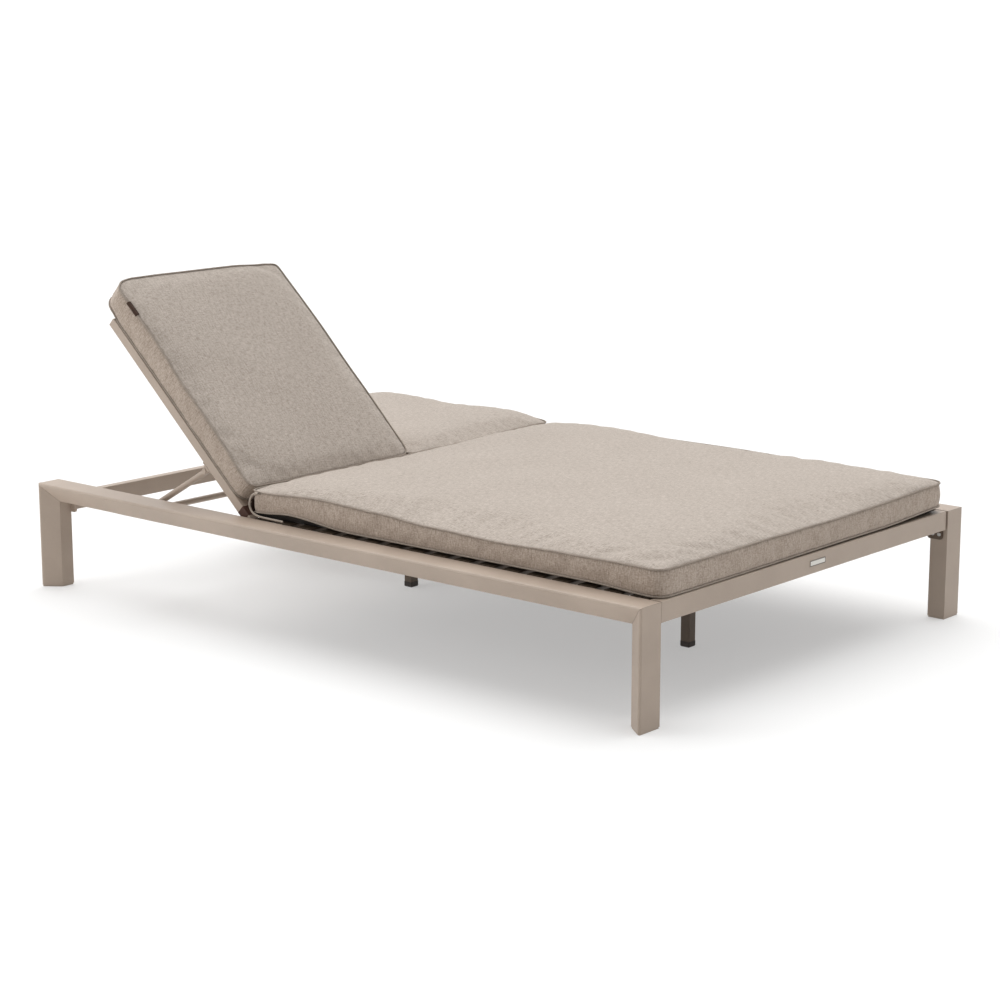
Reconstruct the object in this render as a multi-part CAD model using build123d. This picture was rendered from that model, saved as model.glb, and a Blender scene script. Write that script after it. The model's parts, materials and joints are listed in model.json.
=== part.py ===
from build123d import *
from math import acos, atan2, cos, radians, sin, sqrt
import os

# A double chaise lounger: two trapezoid side frames, four cross and centre members,
# a slatted deck, two backrests that rise by themselves, and three cushions.
# +X runs from the head end to the foot end, -Y is the near side, +Z is up.
# The origin lies on the floor, in the middle of the frame.

# The frame as a whole, outside to outside
frame_length = 2000.0
frame_width = 1330.0
frame_height = 280.0

# The side frame's trapezoid extrusion
extrusion_face = 70.0
extrusion_back = 38.0
extrusion_depth = 48.0
extrusion_wall = 3.0
outer_edge_radius = 5.0
small_edge_radius = 1.5

# The glides that close the four legs
glide_flange = 4.0
glide_inset = 1.5
glide_plug_height = 22.0

# Square tube for the hinge rail and the centre beams, taller tube for the head and foot rails
beam_width = 25.0
beam_height = 25.0
beam_wall = 2.0
beam_edge_radius = 2.0
beam_top = 250.0
head_rail_height = 44.0
head_rail_inset = 40.0
foot_rail_depth = 30.0
foot_rail_inset = 3.0

# Plates that bolt the cross members to the side frames
end_plate_thickness = 5.0
end_plate_edge_radius = 7.0
end_plate_rim = 4.0
head_plate_length = 52.0
head_plate_rim = 1.0
head_plate_drop = 8.0
foot_plate_length = 42.0
foot_plate_drop = 27.0
foot_plate_inset = 12.0
hinge_plate_length = 80.0
hinge_plate_rise = 7.0

# Bolts with low heads, their rivet nuts and the clearance round a shank
bolt_radius = 3.0
bolt_head_radius = 5.0
bolt_head_height = 2.0
bolt_length = 18.0
rivet_nut_radius = 5.0
rivet_nut_length = 8.0
bolt_hole_clearance = 0.2
bolt_edge_distance = 12.0

# Centre legs under the frame, a little to the near side of its middle
centre_leg_size = 26.0
centre_leg_wall = 2.0
centre_leg_y = -24.0
foot_centre_leg_inset = 344.0
leg_plate_size = 60.0
leg_plate_near_y = -39.0
leg_plate_far_y = 15.0
leg_plate_thickness = 4.0
leg_cap_wall = 0.8
leg_cap_edge = 2.5
leg_cap_height = 14.0
leg_cap_floor = 4.0

# The slatted seat deck
slat_width = 50.0
slat_thickness = 12.0
slat_wall = 1.5
slat_edge_radius = 3.0
seat_slat_count = 17
seat_slat_end_gap = 8.0
deck_head_gap = 12.5
deck_foot_gap = 7.0
ledge_width = 22.0
ledge_thickness = 3.0
ledge_upstand = 13.0
ledge_end_gap = 2.0
screw_radius = 2.0
screw_head_radius = 4.0
screw_head_height = 2.5
screw_hole_clearance = 0.1

# The backrest frames, square tube with slats between
stile_size = 25.0
stile_wall = 2.0
stile_edge_radius = 2.0
stile_side_gap = 10.0
stile_centre_gap = 34.0
backrest_length = 670.0
stile_tail = 14.0
stile_cap_thickness = 2.0
stile_cap_gap = 0.05
bottom_tube_start = 45.0
back_slat_count = 7
back_slat_start = 96.0
back_slat_end_gap = 16.0

# The backrest's hinge
hinge_from_head = 719.0
hinge_to_rail = 14.5
pin_radius = 4.0
pin_clearance = 0.05
pin_head_radius = 8.0
pin_head_height = 4.0
pin_head_gap = 0.3
bush_wall = 2.0
bush_flange_radius = 8.0
bush_flange_thickness = 1.5
spacer_radius = 9.0
spacer_gap = 0.3
hinge_nut_radius = 7.0
hinge_nut_length = 5.0
hinge_bolt_spare = 4.0
hinge_cheek_thickness = 4.0
hinge_cheek_spread = 24.0
hinge_base_thickness = 4.0
hinge_cheek_round = 10.0

# The prop brackets, bent from round tube
prop_radius = 8.0
prop_wall = 1.5
prop_bend_radius = 30.0
prop_arm_length = 275.0
prop_tail = 6.5
prop_pivot_distance = 186.0
prop_pivot_depth = 26.0
lug_thickness = 2.5
lug_length = 36.0
lug_round = 9.0
prop_pin_radius = 4.0
prop_pin_head_radius = 6.5
prop_pin_head_height = 2.5

# How far the backrests rise, in degrees, and how the prop's angle follows
near_back_angle = 42.5
far_back_angle = 0.0
highest_back_angle = 60.0
back_stops = (14.0, 28.0, near_back_angle, 57.0)
flat_prop_angle = 1.15
prop_follow_share = 0.68

# The toothed racks that the props rest on
rack_plate = 3.0
rack_clearance = 0.4
rack_notch_depth = 6.0
rack_notch_clearance = 0.6
rack_shelf_clearance = 2.0
rack_tooth_drop = 16.0
rack_head_overhang = 22.0
rack_foot_overhang = 14.0
rack_flange_rim = 4.0
rack_bolt_inset = 20.0
rack_step_angle = 5.0
rack_beyond_bend = 8.0

# Rubber pads on the head rail
pad_size = 20.0
soft_clearance = 0.3

# Blank name plate on the foot rail
badge_length = 64.0
badge_height = 14.5
badge_thickness = 1.2
badge_edge_radius = 2.0
badge_side_offset = 11.0
badge_drop = 23.0

# Cushions: boxing height, crown, belly and the pull of the sides
boxing_height = 62.0
seat_cushion_lift = 8.0
back_cushion_lift = 4.3
edge_belly = 1.0
seat_crown = 40.0
near_back_crown = 13.0
far_back_crown = 47.0
edge_crown = 2.5
side_bulge = 3.0
side_draw = 6.0
cushion_corner_radius = 30.0
back_top_corner_radius = 38.0
seat_cushion_head_gap = 10.0
seat_cushion_foot_inset = 10.0
seat_cushion_side_inset = 76.0
back_cushion_length = 680.0
back_cushion_overhang = 4.0
back_cushion_side_inset = 80.0
back_cushion_centre_gap = 20.0
back_cushion_slide = 58.9
crown_station_shares = (0.0, 0.12, 0.3, 0.55, 0.85)
crown_rise_share = 0.35
shoulder_share = 0.7
shoulder_rise_share = 0.88
slope_rise_share = 0.64
corner_station_shares = (0.0, 0.13, 0.5, 1.0)

# Small soft trim
tie_radius = 3.0
tie_loop_height = 55.0
tie_loop_width = 20.0
tie_tail = 45.0
tie_bend_radius = 12.0
tag_length = 36.0
tag_depth = 5.0
tag_thickness = 1.5
tag_from_top = 60.0

# One overrun for every cut
overrun = 5.0

# Levels and lines that several pieces share
half_length = frame_length / 2
half_width = frame_width / 2
rail_inner_y = half_width - extrusion_face
plate_inner_y = rail_inner_y - end_plate_thickness
rail_bottom = frame_height - extrusion_depth
beam_bottom = beam_top - beam_height
head_rail_bottom = beam_top - head_rail_height
slat_bottom = frame_height - slat_thickness
head_rail_front = -half_length + head_rail_inset
head_rail_back = head_rail_front + beam_width
foot_rail_outer = half_length - foot_rail_inset
foot_rail_inner = foot_rail_outer - foot_rail_depth
foot_centre_leg_x = half_length - foot_centre_leg_inset
hinge_x = -half_length + hinge_from_head
hinge_z = frame_height - stile_size / 2
hinge_rail_front = hinge_x + hinge_to_rail
hinge_rail_back = hinge_rail_front + beam_width
hinge_rail_middle = (hinge_rail_front + hinge_rail_back) / 2
bolt_wall_y = -rail_inner_y - extrusion_wall - overrun
outer_stile_y = -(rail_inner_y - stile_side_gap - stile_size / 2)
inner_stile_y = -(stile_centre_gap + stile_size) / 2
bush_radius = pin_radius + bush_wall
hinge_axis = Axis((hinge_x, 0, hinge_z), (0, 1, 0))
seat_cushion_start = hinge_x + seat_cushion_head_gap
seat_cushion_length = half_length - seat_cushion_foot_inset - seat_cushion_start
seat_cushion_width = frame_width - 2 * seat_cushion_side_inset
back_cushion_width = half_width - back_cushion_side_inset - back_cushion_centre_gap / 2
back_cushion_y = -(back_cushion_width + back_cushion_centre_gap) / 2
back_cushion_start = hinge_x + back_cushion_overhang - back_cushion_length


def block(low, high):
    """A plain block between two opposite corners."""
    low, high = Vector(*low), Vector(*high)
    size = high - low
    return Pos(low + size / 2) * Box(size.X, size.Y, size.Z)


def round_bar(start, end, radius):
    """A round bar between two points."""
    start, end = Vector(*start), Vector(*end)
    bar = Plane(origin=start, z_dir=end - start) * Circle(radius)
    return extrude(bar, (end - start).length)


def cross_bar(x, z, y_start, y_end, radius):
    """A round bar across the frame."""
    return round_bar((x, y_start, z), (x, y_end, z), radius)


def box_tube(start, end, across, up, wall, edge, across_dir):
    """A rectangular tube from start to end, its first side along across_dir."""
    start, end = Vector(*start), Vector(*end)
    plane = Plane(origin=start, x_dir=across_dir, z_dir=end - start)
    outer = plane * RectangleRounded(across, up, edge)
    inner = plane * Rectangle(across - 2 * wall, up - 2 * wall)
    return extrude(outer - inner, (end - start).length)


def far_copy(shape):
    """The same piece on the far side."""
    return mirror(shape, about=Plane.XZ)


def group(*pieces):
    """Separate solids that share one node."""
    return Compound(children=[solid for piece in pieces for solid in piece.solids()])


def side_profile():
    """The near rail's section, y inwards from the outer edge and z down from the top."""
    lean = extrusion_face - extrusion_back
    centre = Vector(outer_edge_radius, -outer_edge_radius)
    heel = Vector(lean, -extrusion_depth)
    reach = heel - centre
    opening = acos(outer_edge_radius / reach.length)
    bearing = atan2(reach.Y, reach.X) - opening
    middle = (bearing - radians(270)) / 2 + radians(180)
    touch = centre + Vector(cos(bearing), sin(bearing)) * outer_edge_radius
    crest = centre - Vector(cos(middle), sin(middle)) * outer_edge_radius
    top_start = (outer_edge_radius, 0)
    top_end = (extrusion_face, 0)
    toe = (extrusion_face, -extrusion_depth)
    rim = Line(top_start, top_end) + Line(top_end, toe) + Line(toe, heel) + Line(heel, touch)
    rim += ThreePointArc(touch, crest, top_start)
    outer = make_face(rim)
    inner = offset(outer, -extrusion_wall)
    return outer, inner


def mitre_cut(shape, corner_x, direction):
    """Keep the part of a rail or leg on one side of the 45 degree joint."""
    corner = (corner_x, 0, frame_height)
    return split(shape, bisect_by=Plane(corner, z_dir=direction), keep=Keep.TOP)


def side_rail():
    """The near rail, mitred at both ends."""
    plane = Plane(origin=(-half_length, -half_width, frame_height), x_dir=(0, 1, 0), z_dir=(1, 0, 0))
    outer, inner = side_profile()
    rail = extrude(plane * (outer - inner), frame_length)
    rail = mitre_cut(rail, -half_length, (1, 0, 1))
    rail = mitre_cut(rail, half_length, (-1, 0, 1))
    for x, z in plate_bolt_places() + rack_bolt_places(outer_rack_bolt_z):
        rail -= bolt_hole(x, z, bolt_wall_y, -plate_inner_y)
    return rail - cross_bar(hinge_x, hinge_z, bolt_wall_y, -rail_inner_y + overrun, pin_radius)


def side_leg():
    """The near leg at the head end, from the mitre down to its glide."""
    plane = Plane(origin=(-half_length, -half_width, glide_flange), x_dir=(0, 1, 0), z_dir=(0, 0, 1))
    outer, inner = side_profile()
    leg = extrude(plane * (outer - inner), frame_height)
    leg = mitre_cut(leg, -half_length, (-1, 0, -1))
    for x, z in head_bolt_places():
        leg -= bolt_hole(x, z, bolt_wall_y, -plate_inner_y)
    return leg


def foot_side_leg():
    """The near leg at the foot end."""
    plane = Plane(origin=(-half_length, -half_width, glide_flange), x_dir=(0, 1, 0), z_dir=(0, 0, 1))
    outer, inner = side_profile()
    leg = extrude(plane * (outer - inner), frame_height)
    leg = mirror(mitre_cut(leg, -half_length, (-1, 0, -1)), about=Plane.YZ)
    for x, z in foot_bolt_places():
        leg -= bolt_hole(x, z, bolt_wall_y, -plate_inner_y)
    return leg


def leg_glide():
    """The plastic glide that closes the near leg at the head end."""
    plane = Plane(origin=(-half_length, -half_width, 0), x_dir=(0, 1, 0), z_dir=(0, 0, 1))
    outer, inner = side_profile()
    flange = extrude(plane * offset(outer, -glide_inset), glide_flange)
    plug = extrude(plane * inner, glide_flange + glide_plug_height)
    return flange + plug


def bolt_hole(x, z, y_start, y_end):
    """A clearance hole for a bolt across the frame."""
    return cross_bar(x, z, y_start, y_end, bolt_radius + bolt_hole_clearance)


def head_bolt_places():
    """Bolts in the head rail's end plates, beside the rail."""
    x = head_rail_front - bolt_edge_distance
    return [(x, head_rail_bottom + end_plate_rim), (x, beam_top - bolt_edge_distance)]


def foot_bolt_places():
    """Bolts in the foot rail's end plates, below the rail."""
    z = rail_bottom - foot_plate_drop / 2
    middle = half_length - foot_plate_inset - foot_plate_length / 2
    spread = bolt_edge_distance
    return [(middle - spread / 2, z), (middle + spread, z)]


def hinge_rail_bolt_places():
    """Bolts in the hinge rail's end plates, one on each side of the rail."""
    z = beam_top - end_plate_rim
    spread = hinge_plate_length / 2 - bolt_edge_distance
    return [(hinge_rail_middle - spread, z), (hinge_rail_middle + spread, z)]


def rack_bolt_places(z):
    """Bolts that hold one rack."""
    return [(rack_start + rack_bolt_inset, z), (rack_end - rack_bolt_inset, z)]


def end_plate(x_low, x_high, z_low, z_high, bolts):
    """A near end plate with rounded corners and its bolt holes."""
    sheet = block((x_low, -rail_inner_y, z_low), (x_high, -plate_inner_y, z_high))
    sheet = fillet(sheet.edges().filter_by(Axis.Y), end_plate_edge_radius)
    for x, z in bolts:
        sheet -= bolt_hole(x, z, -half_width, half_width)
    return sheet


def head_rail_end_plate():
    x_low = head_rail_back + head_plate_rim - head_plate_length
    z_low = head_rail_bottom - head_plate_drop
    return end_plate(x_low, x_low + head_plate_length, z_low, beam_top + end_plate_rim, head_bolt_places())


def foot_rail_end_plate():
    x_high = half_length - foot_plate_inset
    z_high = frame_height - small_edge_radius
    z_low = rail_bottom - foot_plate_drop
    return end_plate(x_high - foot_plate_length, x_high, z_low, z_high, foot_bolt_places())


def hinge_rail_end_plate():
    x_low = hinge_rail_middle - hinge_plate_length / 2
    z_high = beam_top + hinge_plate_rise
    return end_plate(x_low, x_low + hinge_plate_length, beam_bottom, z_high, hinge_rail_bolt_places())


def cross_rail(x_middle, depth, bottom, top):
    """A rectangular tube across the frame, between its end plates."""
    z = (bottom + top) / 2
    start = (x_middle, -plate_inner_y, z)
    end = (x_middle, plate_inner_y, z)
    return box_tube(start, end, depth, top - bottom, beam_wall, beam_edge_radius, (1, 0, 0))


def centre_beam(x_start, x_end):
    """A length of the beam along the middle of the frame."""
    z = beam_top - beam_height / 2
    start = (x_start, 0, z)
    end = (x_end, 0, z)
    return box_tube(start, end, beam_width, beam_height, beam_wall, beam_edge_radius, (0, 1, 0))


def head_centre_beam():
    beam = centre_beam(head_rail_back, hinge_rail_front)
    for x, z in rack_bolt_places(inner_rack_bolt_z):
        beam -= bolt_hole(x, z, -beam_width, beam_width)
    return beam


def beam_end_plate():
    """The plate that ties the seat beam to the foot rail."""
    x_low = foot_rail_inner - end_plate_thickness
    plate = block((x_low, -beam_width, beam_bottom), (foot_rail_inner, beam_width, slat_bottom - end_plate_rim))
    return fillet(plate.edges().filter_by(Axis.X), end_plate_edge_radius)


def centre_leg(x):
    """A square leg from its floor cap up to its top plate."""
    start = (x, centre_leg_y, leg_cap_floor)
    end = (x, centre_leg_y, beam_bottom - leg_plate_thickness)
    return box_tube(start, end, centre_leg_size, centre_leg_size, centre_leg_wall, beam_edge_radius, (1, 0, 0))


def centre_leg_plate(x):
    """The plate welded on top of a centre leg."""
    size = leg_plate_size / 2
    low = (x - size, leg_plate_near_y, beam_bottom - leg_plate_thickness)
    plate = block(low, (x + size, leg_plate_far_y, beam_bottom))
    return fillet(plate.edges().filter_by(Axis.Z), end_plate_edge_radius)


def centre_leg_cap(x):
    """The plastic cap under a centre leg, round at its floor edge."""
    half = centre_leg_size / 2 + leg_cap_wall
    cap = block((x - half, centre_leg_y - half, 0), (x + half, centre_leg_y + half, leg_cap_height))
    cap = fillet(cap.edges().filter_by(Axis.Z), beam_edge_radius + leg_cap_wall)
    cap = chamfer(cap.faces().sort_by(Axis.Z)[0].edges(), leg_cap_edge)
    socket = extrude(RectangleRounded(centre_leg_size, centre_leg_size, beam_edge_radius), leg_cap_height)
    return cap - Pos(x, centre_leg_y, leg_cap_floor) * socket


def slat(x_middle, y_start, y_end):
    """One hollow slat across the deck."""
    z = frame_height - slat_thickness / 2
    start = (x_middle, y_start, z)
    end = (x_middle, y_end, z)
    return box_tube(start, end, slat_width, slat_thickness, slat_wall, slat_edge_radius, (1, 0, 0))


def seat_slat_places():
    """The seat slats' middles, spread evenly from the hinge rail to the foot rail."""
    first = hinge_rail_front + deck_head_gap + slat_width / 2
    last = foot_rail_inner - deck_foot_gap - slat_width / 2
    pitch = (last - first) / (seat_slat_count - 1)
    return [first + pitch * number for number in range(seat_slat_count)]


def seat_slats():
    y = rail_inner_y - seat_slat_end_gap
    slats = []
    for x in seat_slat_places():
        one = slat(x, -y, y)
        for side in (-1, 1):
            hole = screw_radius + screw_hole_clearance
            place = (x, side * screw_y, slat_bottom - overrun)
            one -= round_bar(place, (x, side * screw_y, slat_bottom + slat_wall), hole)
        slats.append(one)
    return group(*slats)


def slat_ledge():
    """The near angle strip that carries the slats' ends."""
    x_start = seat_slat_places()[0] - slat_width / 2
    x_end = half_length - foot_plate_inset - foot_plate_length - ledge_end_gap
    flat_low = (x_start, -rail_inner_y, slat_bottom - ledge_thickness)
    flat_high = (x_end, -rail_inner_y + ledge_width, slat_bottom)
    up_high = (x_end, -rail_inner_y + ledge_thickness, slat_bottom - ledge_thickness + ledge_upstand)
    strip = block(flat_low, flat_high) + block(flat_low, up_high)
    for x in seat_slat_places():
        hole = screw_radius + screw_hole_clearance
        low = (x, -screw_y, slat_bottom - ledge_thickness - overrun)
        strip -= round_bar(low, (x, -screw_y, slat_bottom + overrun), hole)
    return strip


def slat_screws():
    """Screws up through the ledges into the slats."""
    underside = slat_bottom - ledge_thickness
    screws = []
    for x in seat_slat_places():
        for side in (-1, 1):
            y = side * screw_y
            head = round_bar((x, y, underside - screw_head_height), (x, y, underside), screw_head_radius)
            shank = round_bar((x, y, underside), (x, y, slat_bottom + 2 * slat_wall), screw_radius)
            screws.append(head + shank)
    return group(*screws)


def centre_slat_bearer():
    """A small tube on the seat beam, under the middle of the slats."""
    height = slat_bottom - beam_top
    z = beam_top + height / 2
    start = (hinge_rail_front + deck_head_gap, 0, z)
    end = (foot_rail_inner - deck_foot_gap, 0, z)
    return box_tube(start, end, beam_width, height, slat_wall, slat_edge_radius / 2, (0, 1, 0))


def backrest_point(angle, along, depth):
    """A point of the backrest's side view: along from the hinge, depth below its middle."""
    turn = radians(angle)
    x = hinge_x - along * cos(turn) - depth * sin(turn)
    z = hinge_z + along * sin(turn) - depth * cos(turn)
    return x, z


def prop_angle(back_angle):
    """How far the prop's arms slope down when the backrest is at an angle."""
    return flat_prop_angle + prop_follow_share * back_angle


def bar_place(back_angle):
    """Where the prop's cross bar is when the backrest is at an angle."""
    x, z = backrest_point(back_angle, prop_pivot_distance, prop_pivot_depth)
    slope = radians(prop_angle(back_angle))
    return x - prop_arm_length * cos(slope), z - prop_arm_length * sin(slope)


rack_start = bar_place(0)[0] - rack_head_overhang
rack_end = bar_place(highest_back_angle)[0] + rack_foot_overhang
rack_shelf_top = bar_place(highest_back_angle)[1] - prop_radius - rack_shelf_clearance
rack_shelf_bottom = rack_shelf_top - rack_plate
rack_tooth_foot = rack_shelf_bottom - rack_tooth_drop
outer_rack_bolt_z = (rail_bottom + frame_height) / 2
inner_rack_bolt_z = (rack_shelf_bottom + beam_top) / 2
screw_y = rail_inner_y - (seat_slat_end_gap + ledge_width) / 2


def rack_tooth_plate(y_low):
    """The upright plate with notches under the bar's path."""
    tip = prop_radius + rack_clearance
    steps = int(highest_back_angle / rack_step_angle)
    path = [bar_place(rack_step_angle * step) for step in range(steps + 1)]
    line = [(rack_start, path[0][1] - tip)] + [(x, z - tip) for x, z in path]
    line.append((rack_end, path[-1][1] - tip))
    line += [(rack_end, rack_tooth_foot), (rack_start, rack_tooth_foot)]
    outline = [Vector(x, y_low, z) for x, z in line]
    plate = extrude(make_face(Polyline(*outline, close=True)), rack_plate, dir=(0, 1, 0))
    for stop in back_stops:
        x, z = bar_place(stop)
        seat_z = z - rack_notch_depth
        plate -= cross_bar(x, seat_z, y_low - overrun, y_low + rack_plate + overrun, prop_radius + rack_notch_clearance)
    return plate


def outer_rack():
    """The near rack on the side rail: flange, shelf and tooth plate."""
    y_wall = -rail_inner_y
    y_tooth = outer_stile_y + prop_bend_radius + rack_beyond_bend
    flange_top = frame_height - rack_flange_rim
    flange = block((rack_start, y_wall, rack_shelf_bottom), (rack_end, y_wall + rack_plate, flange_top))
    shelf = block((rack_start, y_wall, rack_shelf_bottom), (rack_end, y_tooth + rack_plate, rack_shelf_top))
    rack = flange + shelf + rack_tooth_plate(y_tooth)
    for x, z in rack_bolt_places(outer_rack_bolt_z):
        rack -= bolt_hole(x, z, -half_width, y_wall + rack_plate + overrun)
    return rack


def inner_rack():
    """The near rack on the centre beam: flange, shelf and tooth plate."""
    y_wall = -beam_width / 2
    y_tooth = inner_stile_y - prop_bend_radius - rack_beyond_bend
    flange_top = beam_top - rack_flange_rim
    flange = block((rack_start, y_wall - rack_plate, rack_shelf_bottom), (rack_end, y_wall, flange_top))
    shelf = block((rack_start, y_tooth - rack_plate, rack_shelf_bottom), (rack_end, y_wall, rack_shelf_top))
    rack = flange + shelf + rack_tooth_plate(y_tooth - rack_plate)
    for x, z in rack_bolt_places(inner_rack_bolt_z):
        rack -= bolt_hole(x, z, y_wall - rack_plate - overrun, 0)
    return rack


def side_bolt(x, z, y_face):
    """A bolt from the frame's inside into the near side frame, its head on y_face."""
    head = cross_bar(x, z, y_face, y_face + bolt_head_height, bolt_head_radius)
    shank = cross_bar(x, z, y_face - bolt_length, y_face, bolt_radius)
    return head + shank


def side_rivet_nut(x, z):
    """The rivet nut behind the near side frame's inner wall."""
    wall = -rail_inner_y - extrusion_wall
    nut = cross_bar(x, z, wall - rivet_nut_length, wall, rivet_nut_radius)
    return nut - cross_bar(x, z, wall - rivet_nut_length - overrun, wall + overrun, bolt_radius)


def inner_rack_bolt(x, z):
    """A short bolt through the inner rack into the centre beam."""
    y_face = -beam_width / 2 - rack_plate
    head = cross_bar(x, z, y_face - bolt_head_height, y_face, bolt_head_radius)
    shank = cross_bar(x, z, y_face, y_face + bolt_length / 2, bolt_radius)
    return head + shank


def plate_bolt_places():
    return head_bolt_places() + foot_bolt_places() + hinge_rail_bolt_places()


def frame_bolts():
    near = [side_bolt(x, z, -plate_inner_y) for x, z in plate_bolt_places()]
    near += [side_bolt(x, z, -rail_inner_y + rack_plate) for x, z in rack_bolt_places(outer_rack_bolt_z)]
    near += [inner_rack_bolt(x, z) for x, z in rack_bolt_places(inner_rack_bolt_z)]
    return group(*near, *[far_copy(bolt) for bolt in near])


def rivet_nuts():
    near = [side_rivet_nut(x, z) for x, z in plate_bolt_places() + rack_bolt_places(outer_rack_bolt_z)]
    return group(*near, *[far_copy(nut) for nut in near])


def centre_hinge_bracket():
    """Two upright cheeks on the centre beam that hold the long hinge pin."""
    half = hinge_cheek_spread / 2
    x_low = hinge_x - hinge_cheek_round
    x_high = hinge_rail_front
    base_top = beam_top + hinge_base_thickness
    bracket = block((x_low, -half, beam_top), (x_high, half, base_top))
    for side in (-1, 1):
        y_out = side * half
        y_in = side * (half - hinge_cheek_thickness)
        y_low, y_high = min(y_out, y_in), max(y_out, y_in)
        cheek = block((x_low, y_low, beam_top), (hinge_x + hinge_cheek_round, y_high, hinge_z))
        cheek += cross_bar(hinge_x, hinge_z, y_low, y_high, hinge_cheek_round)
        bracket += cheek
    return bracket - cross_bar(hinge_x, hinge_z, -half - overrun, half + overrun, pin_radius)


def centre_hinge_pin():
    """The long pin that both inner stiles turn on."""
    grip = stile_centre_gap / 2 + stile_size + pin_head_gap
    pin = cross_bar(hinge_x, hinge_z, -grip, grip, pin_radius)
    for side in (-1, 1):
        start = side * grip
        pin += cross_bar(hinge_x, hinge_z, start, start + side * pin_head_height, pin_head_radius)
    return pin


def side_hinge_bolt():
    """The near outer stile's bolt, through the rail's inner wall into its nut."""
    face = outer_stile_y + stile_size / 2 + pin_head_gap
    tip = -rail_inner_y - extrusion_wall - hinge_nut_length - hinge_bolt_spare
    nut_face = -rail_inner_y - extrusion_wall
    bolt = cross_bar(hinge_x, hinge_z, tip, face, pin_radius)
    bolt += cross_bar(hinge_x, hinge_z, face, face + pin_head_height, pin_head_radius)
    return bolt + cross_bar(hinge_x, hinge_z, nut_face - hinge_nut_length, nut_face, hinge_nut_radius)


def hinge_spacer(y_start, y_end):
    ring = cross_bar(hinge_x, hinge_z, y_start, y_end, spacer_radius)
    return ring - cross_bar(hinge_x, hinge_z, y_start, y_end, pin_radius)


def hinge_spacers():
    """Rings that keep the stiles off the side rail and off the centre bracket."""
    outer_end = outer_stile_y - stile_size / 2 - bush_flange_thickness - spacer_gap
    inner_end = stile_centre_gap / 2 - bush_flange_thickness - spacer_gap
    near = [hinge_spacer(-rail_inner_y, outer_end), hinge_spacer(-inner_end, -hinge_cheek_spread / 2)]
    return group(*near, *[far_copy(ring) for ring in near])


def rest_pads():
    """Rubber pads on the head rail, under the backrests' stiles when they lie flat."""
    x = (head_rail_front + head_rail_back) / 2
    top = frame_height - stile_size - soft_clearance
    half = pad_size / 2
    near = []
    for y in (outer_stile_y, inner_stile_y):
        near.append(block((x - half, y - half, beam_top), (x + half, y + half, top)))
    return group(*near, *[far_copy(pad) for pad in near])


def badge_plate():
    """A blank plate on the foot rail's outer face."""
    z = frame_height - badge_drop
    y = badge_side_offset
    low = (foot_rail_outer, y - badge_length / 2, z - badge_height / 2)
    high = (foot_rail_outer + badge_thickness, y + badge_length / 2, z + badge_height / 2)
    plate = block(low, high)
    return fillet(plate.edges().filter_by(Axis.X), badge_edge_radius)


def cushion_station(half, lift, crown, belly, bulge):
    """One cross section of a cushion: y across, z up from the surface that it lies on."""
    low = lift
    high = lift + boxing_height
    middle = (low + high) / 2
    left_low, right_low = (-half, low), (half, low)
    left_high, right_high = (-half, high), (half, high)
    rim = ThreePointArc(left_low, (0, low - belly), right_low)
    rim += ThreePointArc(right_low, (half + bulge, middle), right_high)
    shoulder = half * shoulder_share
    shoulder_z = high + crown * shoulder_rise_share
    slope_y = (half + shoulder) / 2
    slope_z = high + crown * slope_rise_share
    rim += ThreePointArc(right_high, (slope_y, slope_z), (shoulder, shoulder_z))
    rim += ThreePointArc((shoulder, shoulder_z), (0, high + crown), (-shoulder, shoulder_z))
    rim += ThreePointArc((-shoulder, shoulder_z), (-slope_y, slope_z), left_high)
    rim += ThreePointArc(left_high, (-half - bulge, middle), left_low)
    return make_face(rim)


def cushion_half(length, width, start_radius, end_radius, x):
    """Half the width between a cushion's seams at x, with its round corners and drawn-in sides."""
    inset = 0
    if x < start_radius:
        inset = start_radius - sqrt(start_radius**2 - (start_radius - x) ** 2)
    if x > length - end_radius:
        inset = end_radius - sqrt(end_radius**2 - (x - length + end_radius) ** 2)
    swell = sin(radians(180) * x / length)
    return width / 2 - inset - side_bulge - side_draw * swell


def side_swell(depth):
    """How far a cushion's side stands out at a depth from its seam."""
    share = 1 - 2 * depth / boxing_height
    return side_bulge * (1 - share**2)


def cushion(length, width, lift, crown, start_radius, end_radius):
    """A boxed and crowned cushion from x = 0 to its length."""
    places = [start_radius * share for share in corner_station_shares]
    run = length - start_radius - end_radius
    spread = [share / 2 for share in crown_station_shares[1:]]
    spread += [1 - share for share in reversed(spread)]
    places += [start_radius + run * share for share in spread]
    places += [length - end_radius * share for share in reversed(corner_station_shares)]
    sections = []
    for x in places:
        swell = abs(sin(radians(180) * x / length))
        half = cushion_half(length, width, start_radius, end_radius, x)
        rise = edge_crown + (crown - edge_crown) * swell**crown_rise_share
        sag = edge_belly + (lift - soft_clearance - edge_belly) * sqrt(swell)
        face = cushion_station(half, lift, rise, sag, side_bulge)
        sections.append(Plane(origin=(x, 0, 0), x_dir=(0, 1, 0), z_dir=(1, 0, 0)) * face)
    return loft(sections, ruled=True)


def seat_cushion():
    """The one wide cushion on the seat deck."""
    radius = cushion_corner_radius
    pad = cushion(seat_cushion_length, seat_cushion_width, seat_cushion_lift, seat_crown, radius, radius)
    return Pos(seat_cushion_start, 0, frame_height) * pad


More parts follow.
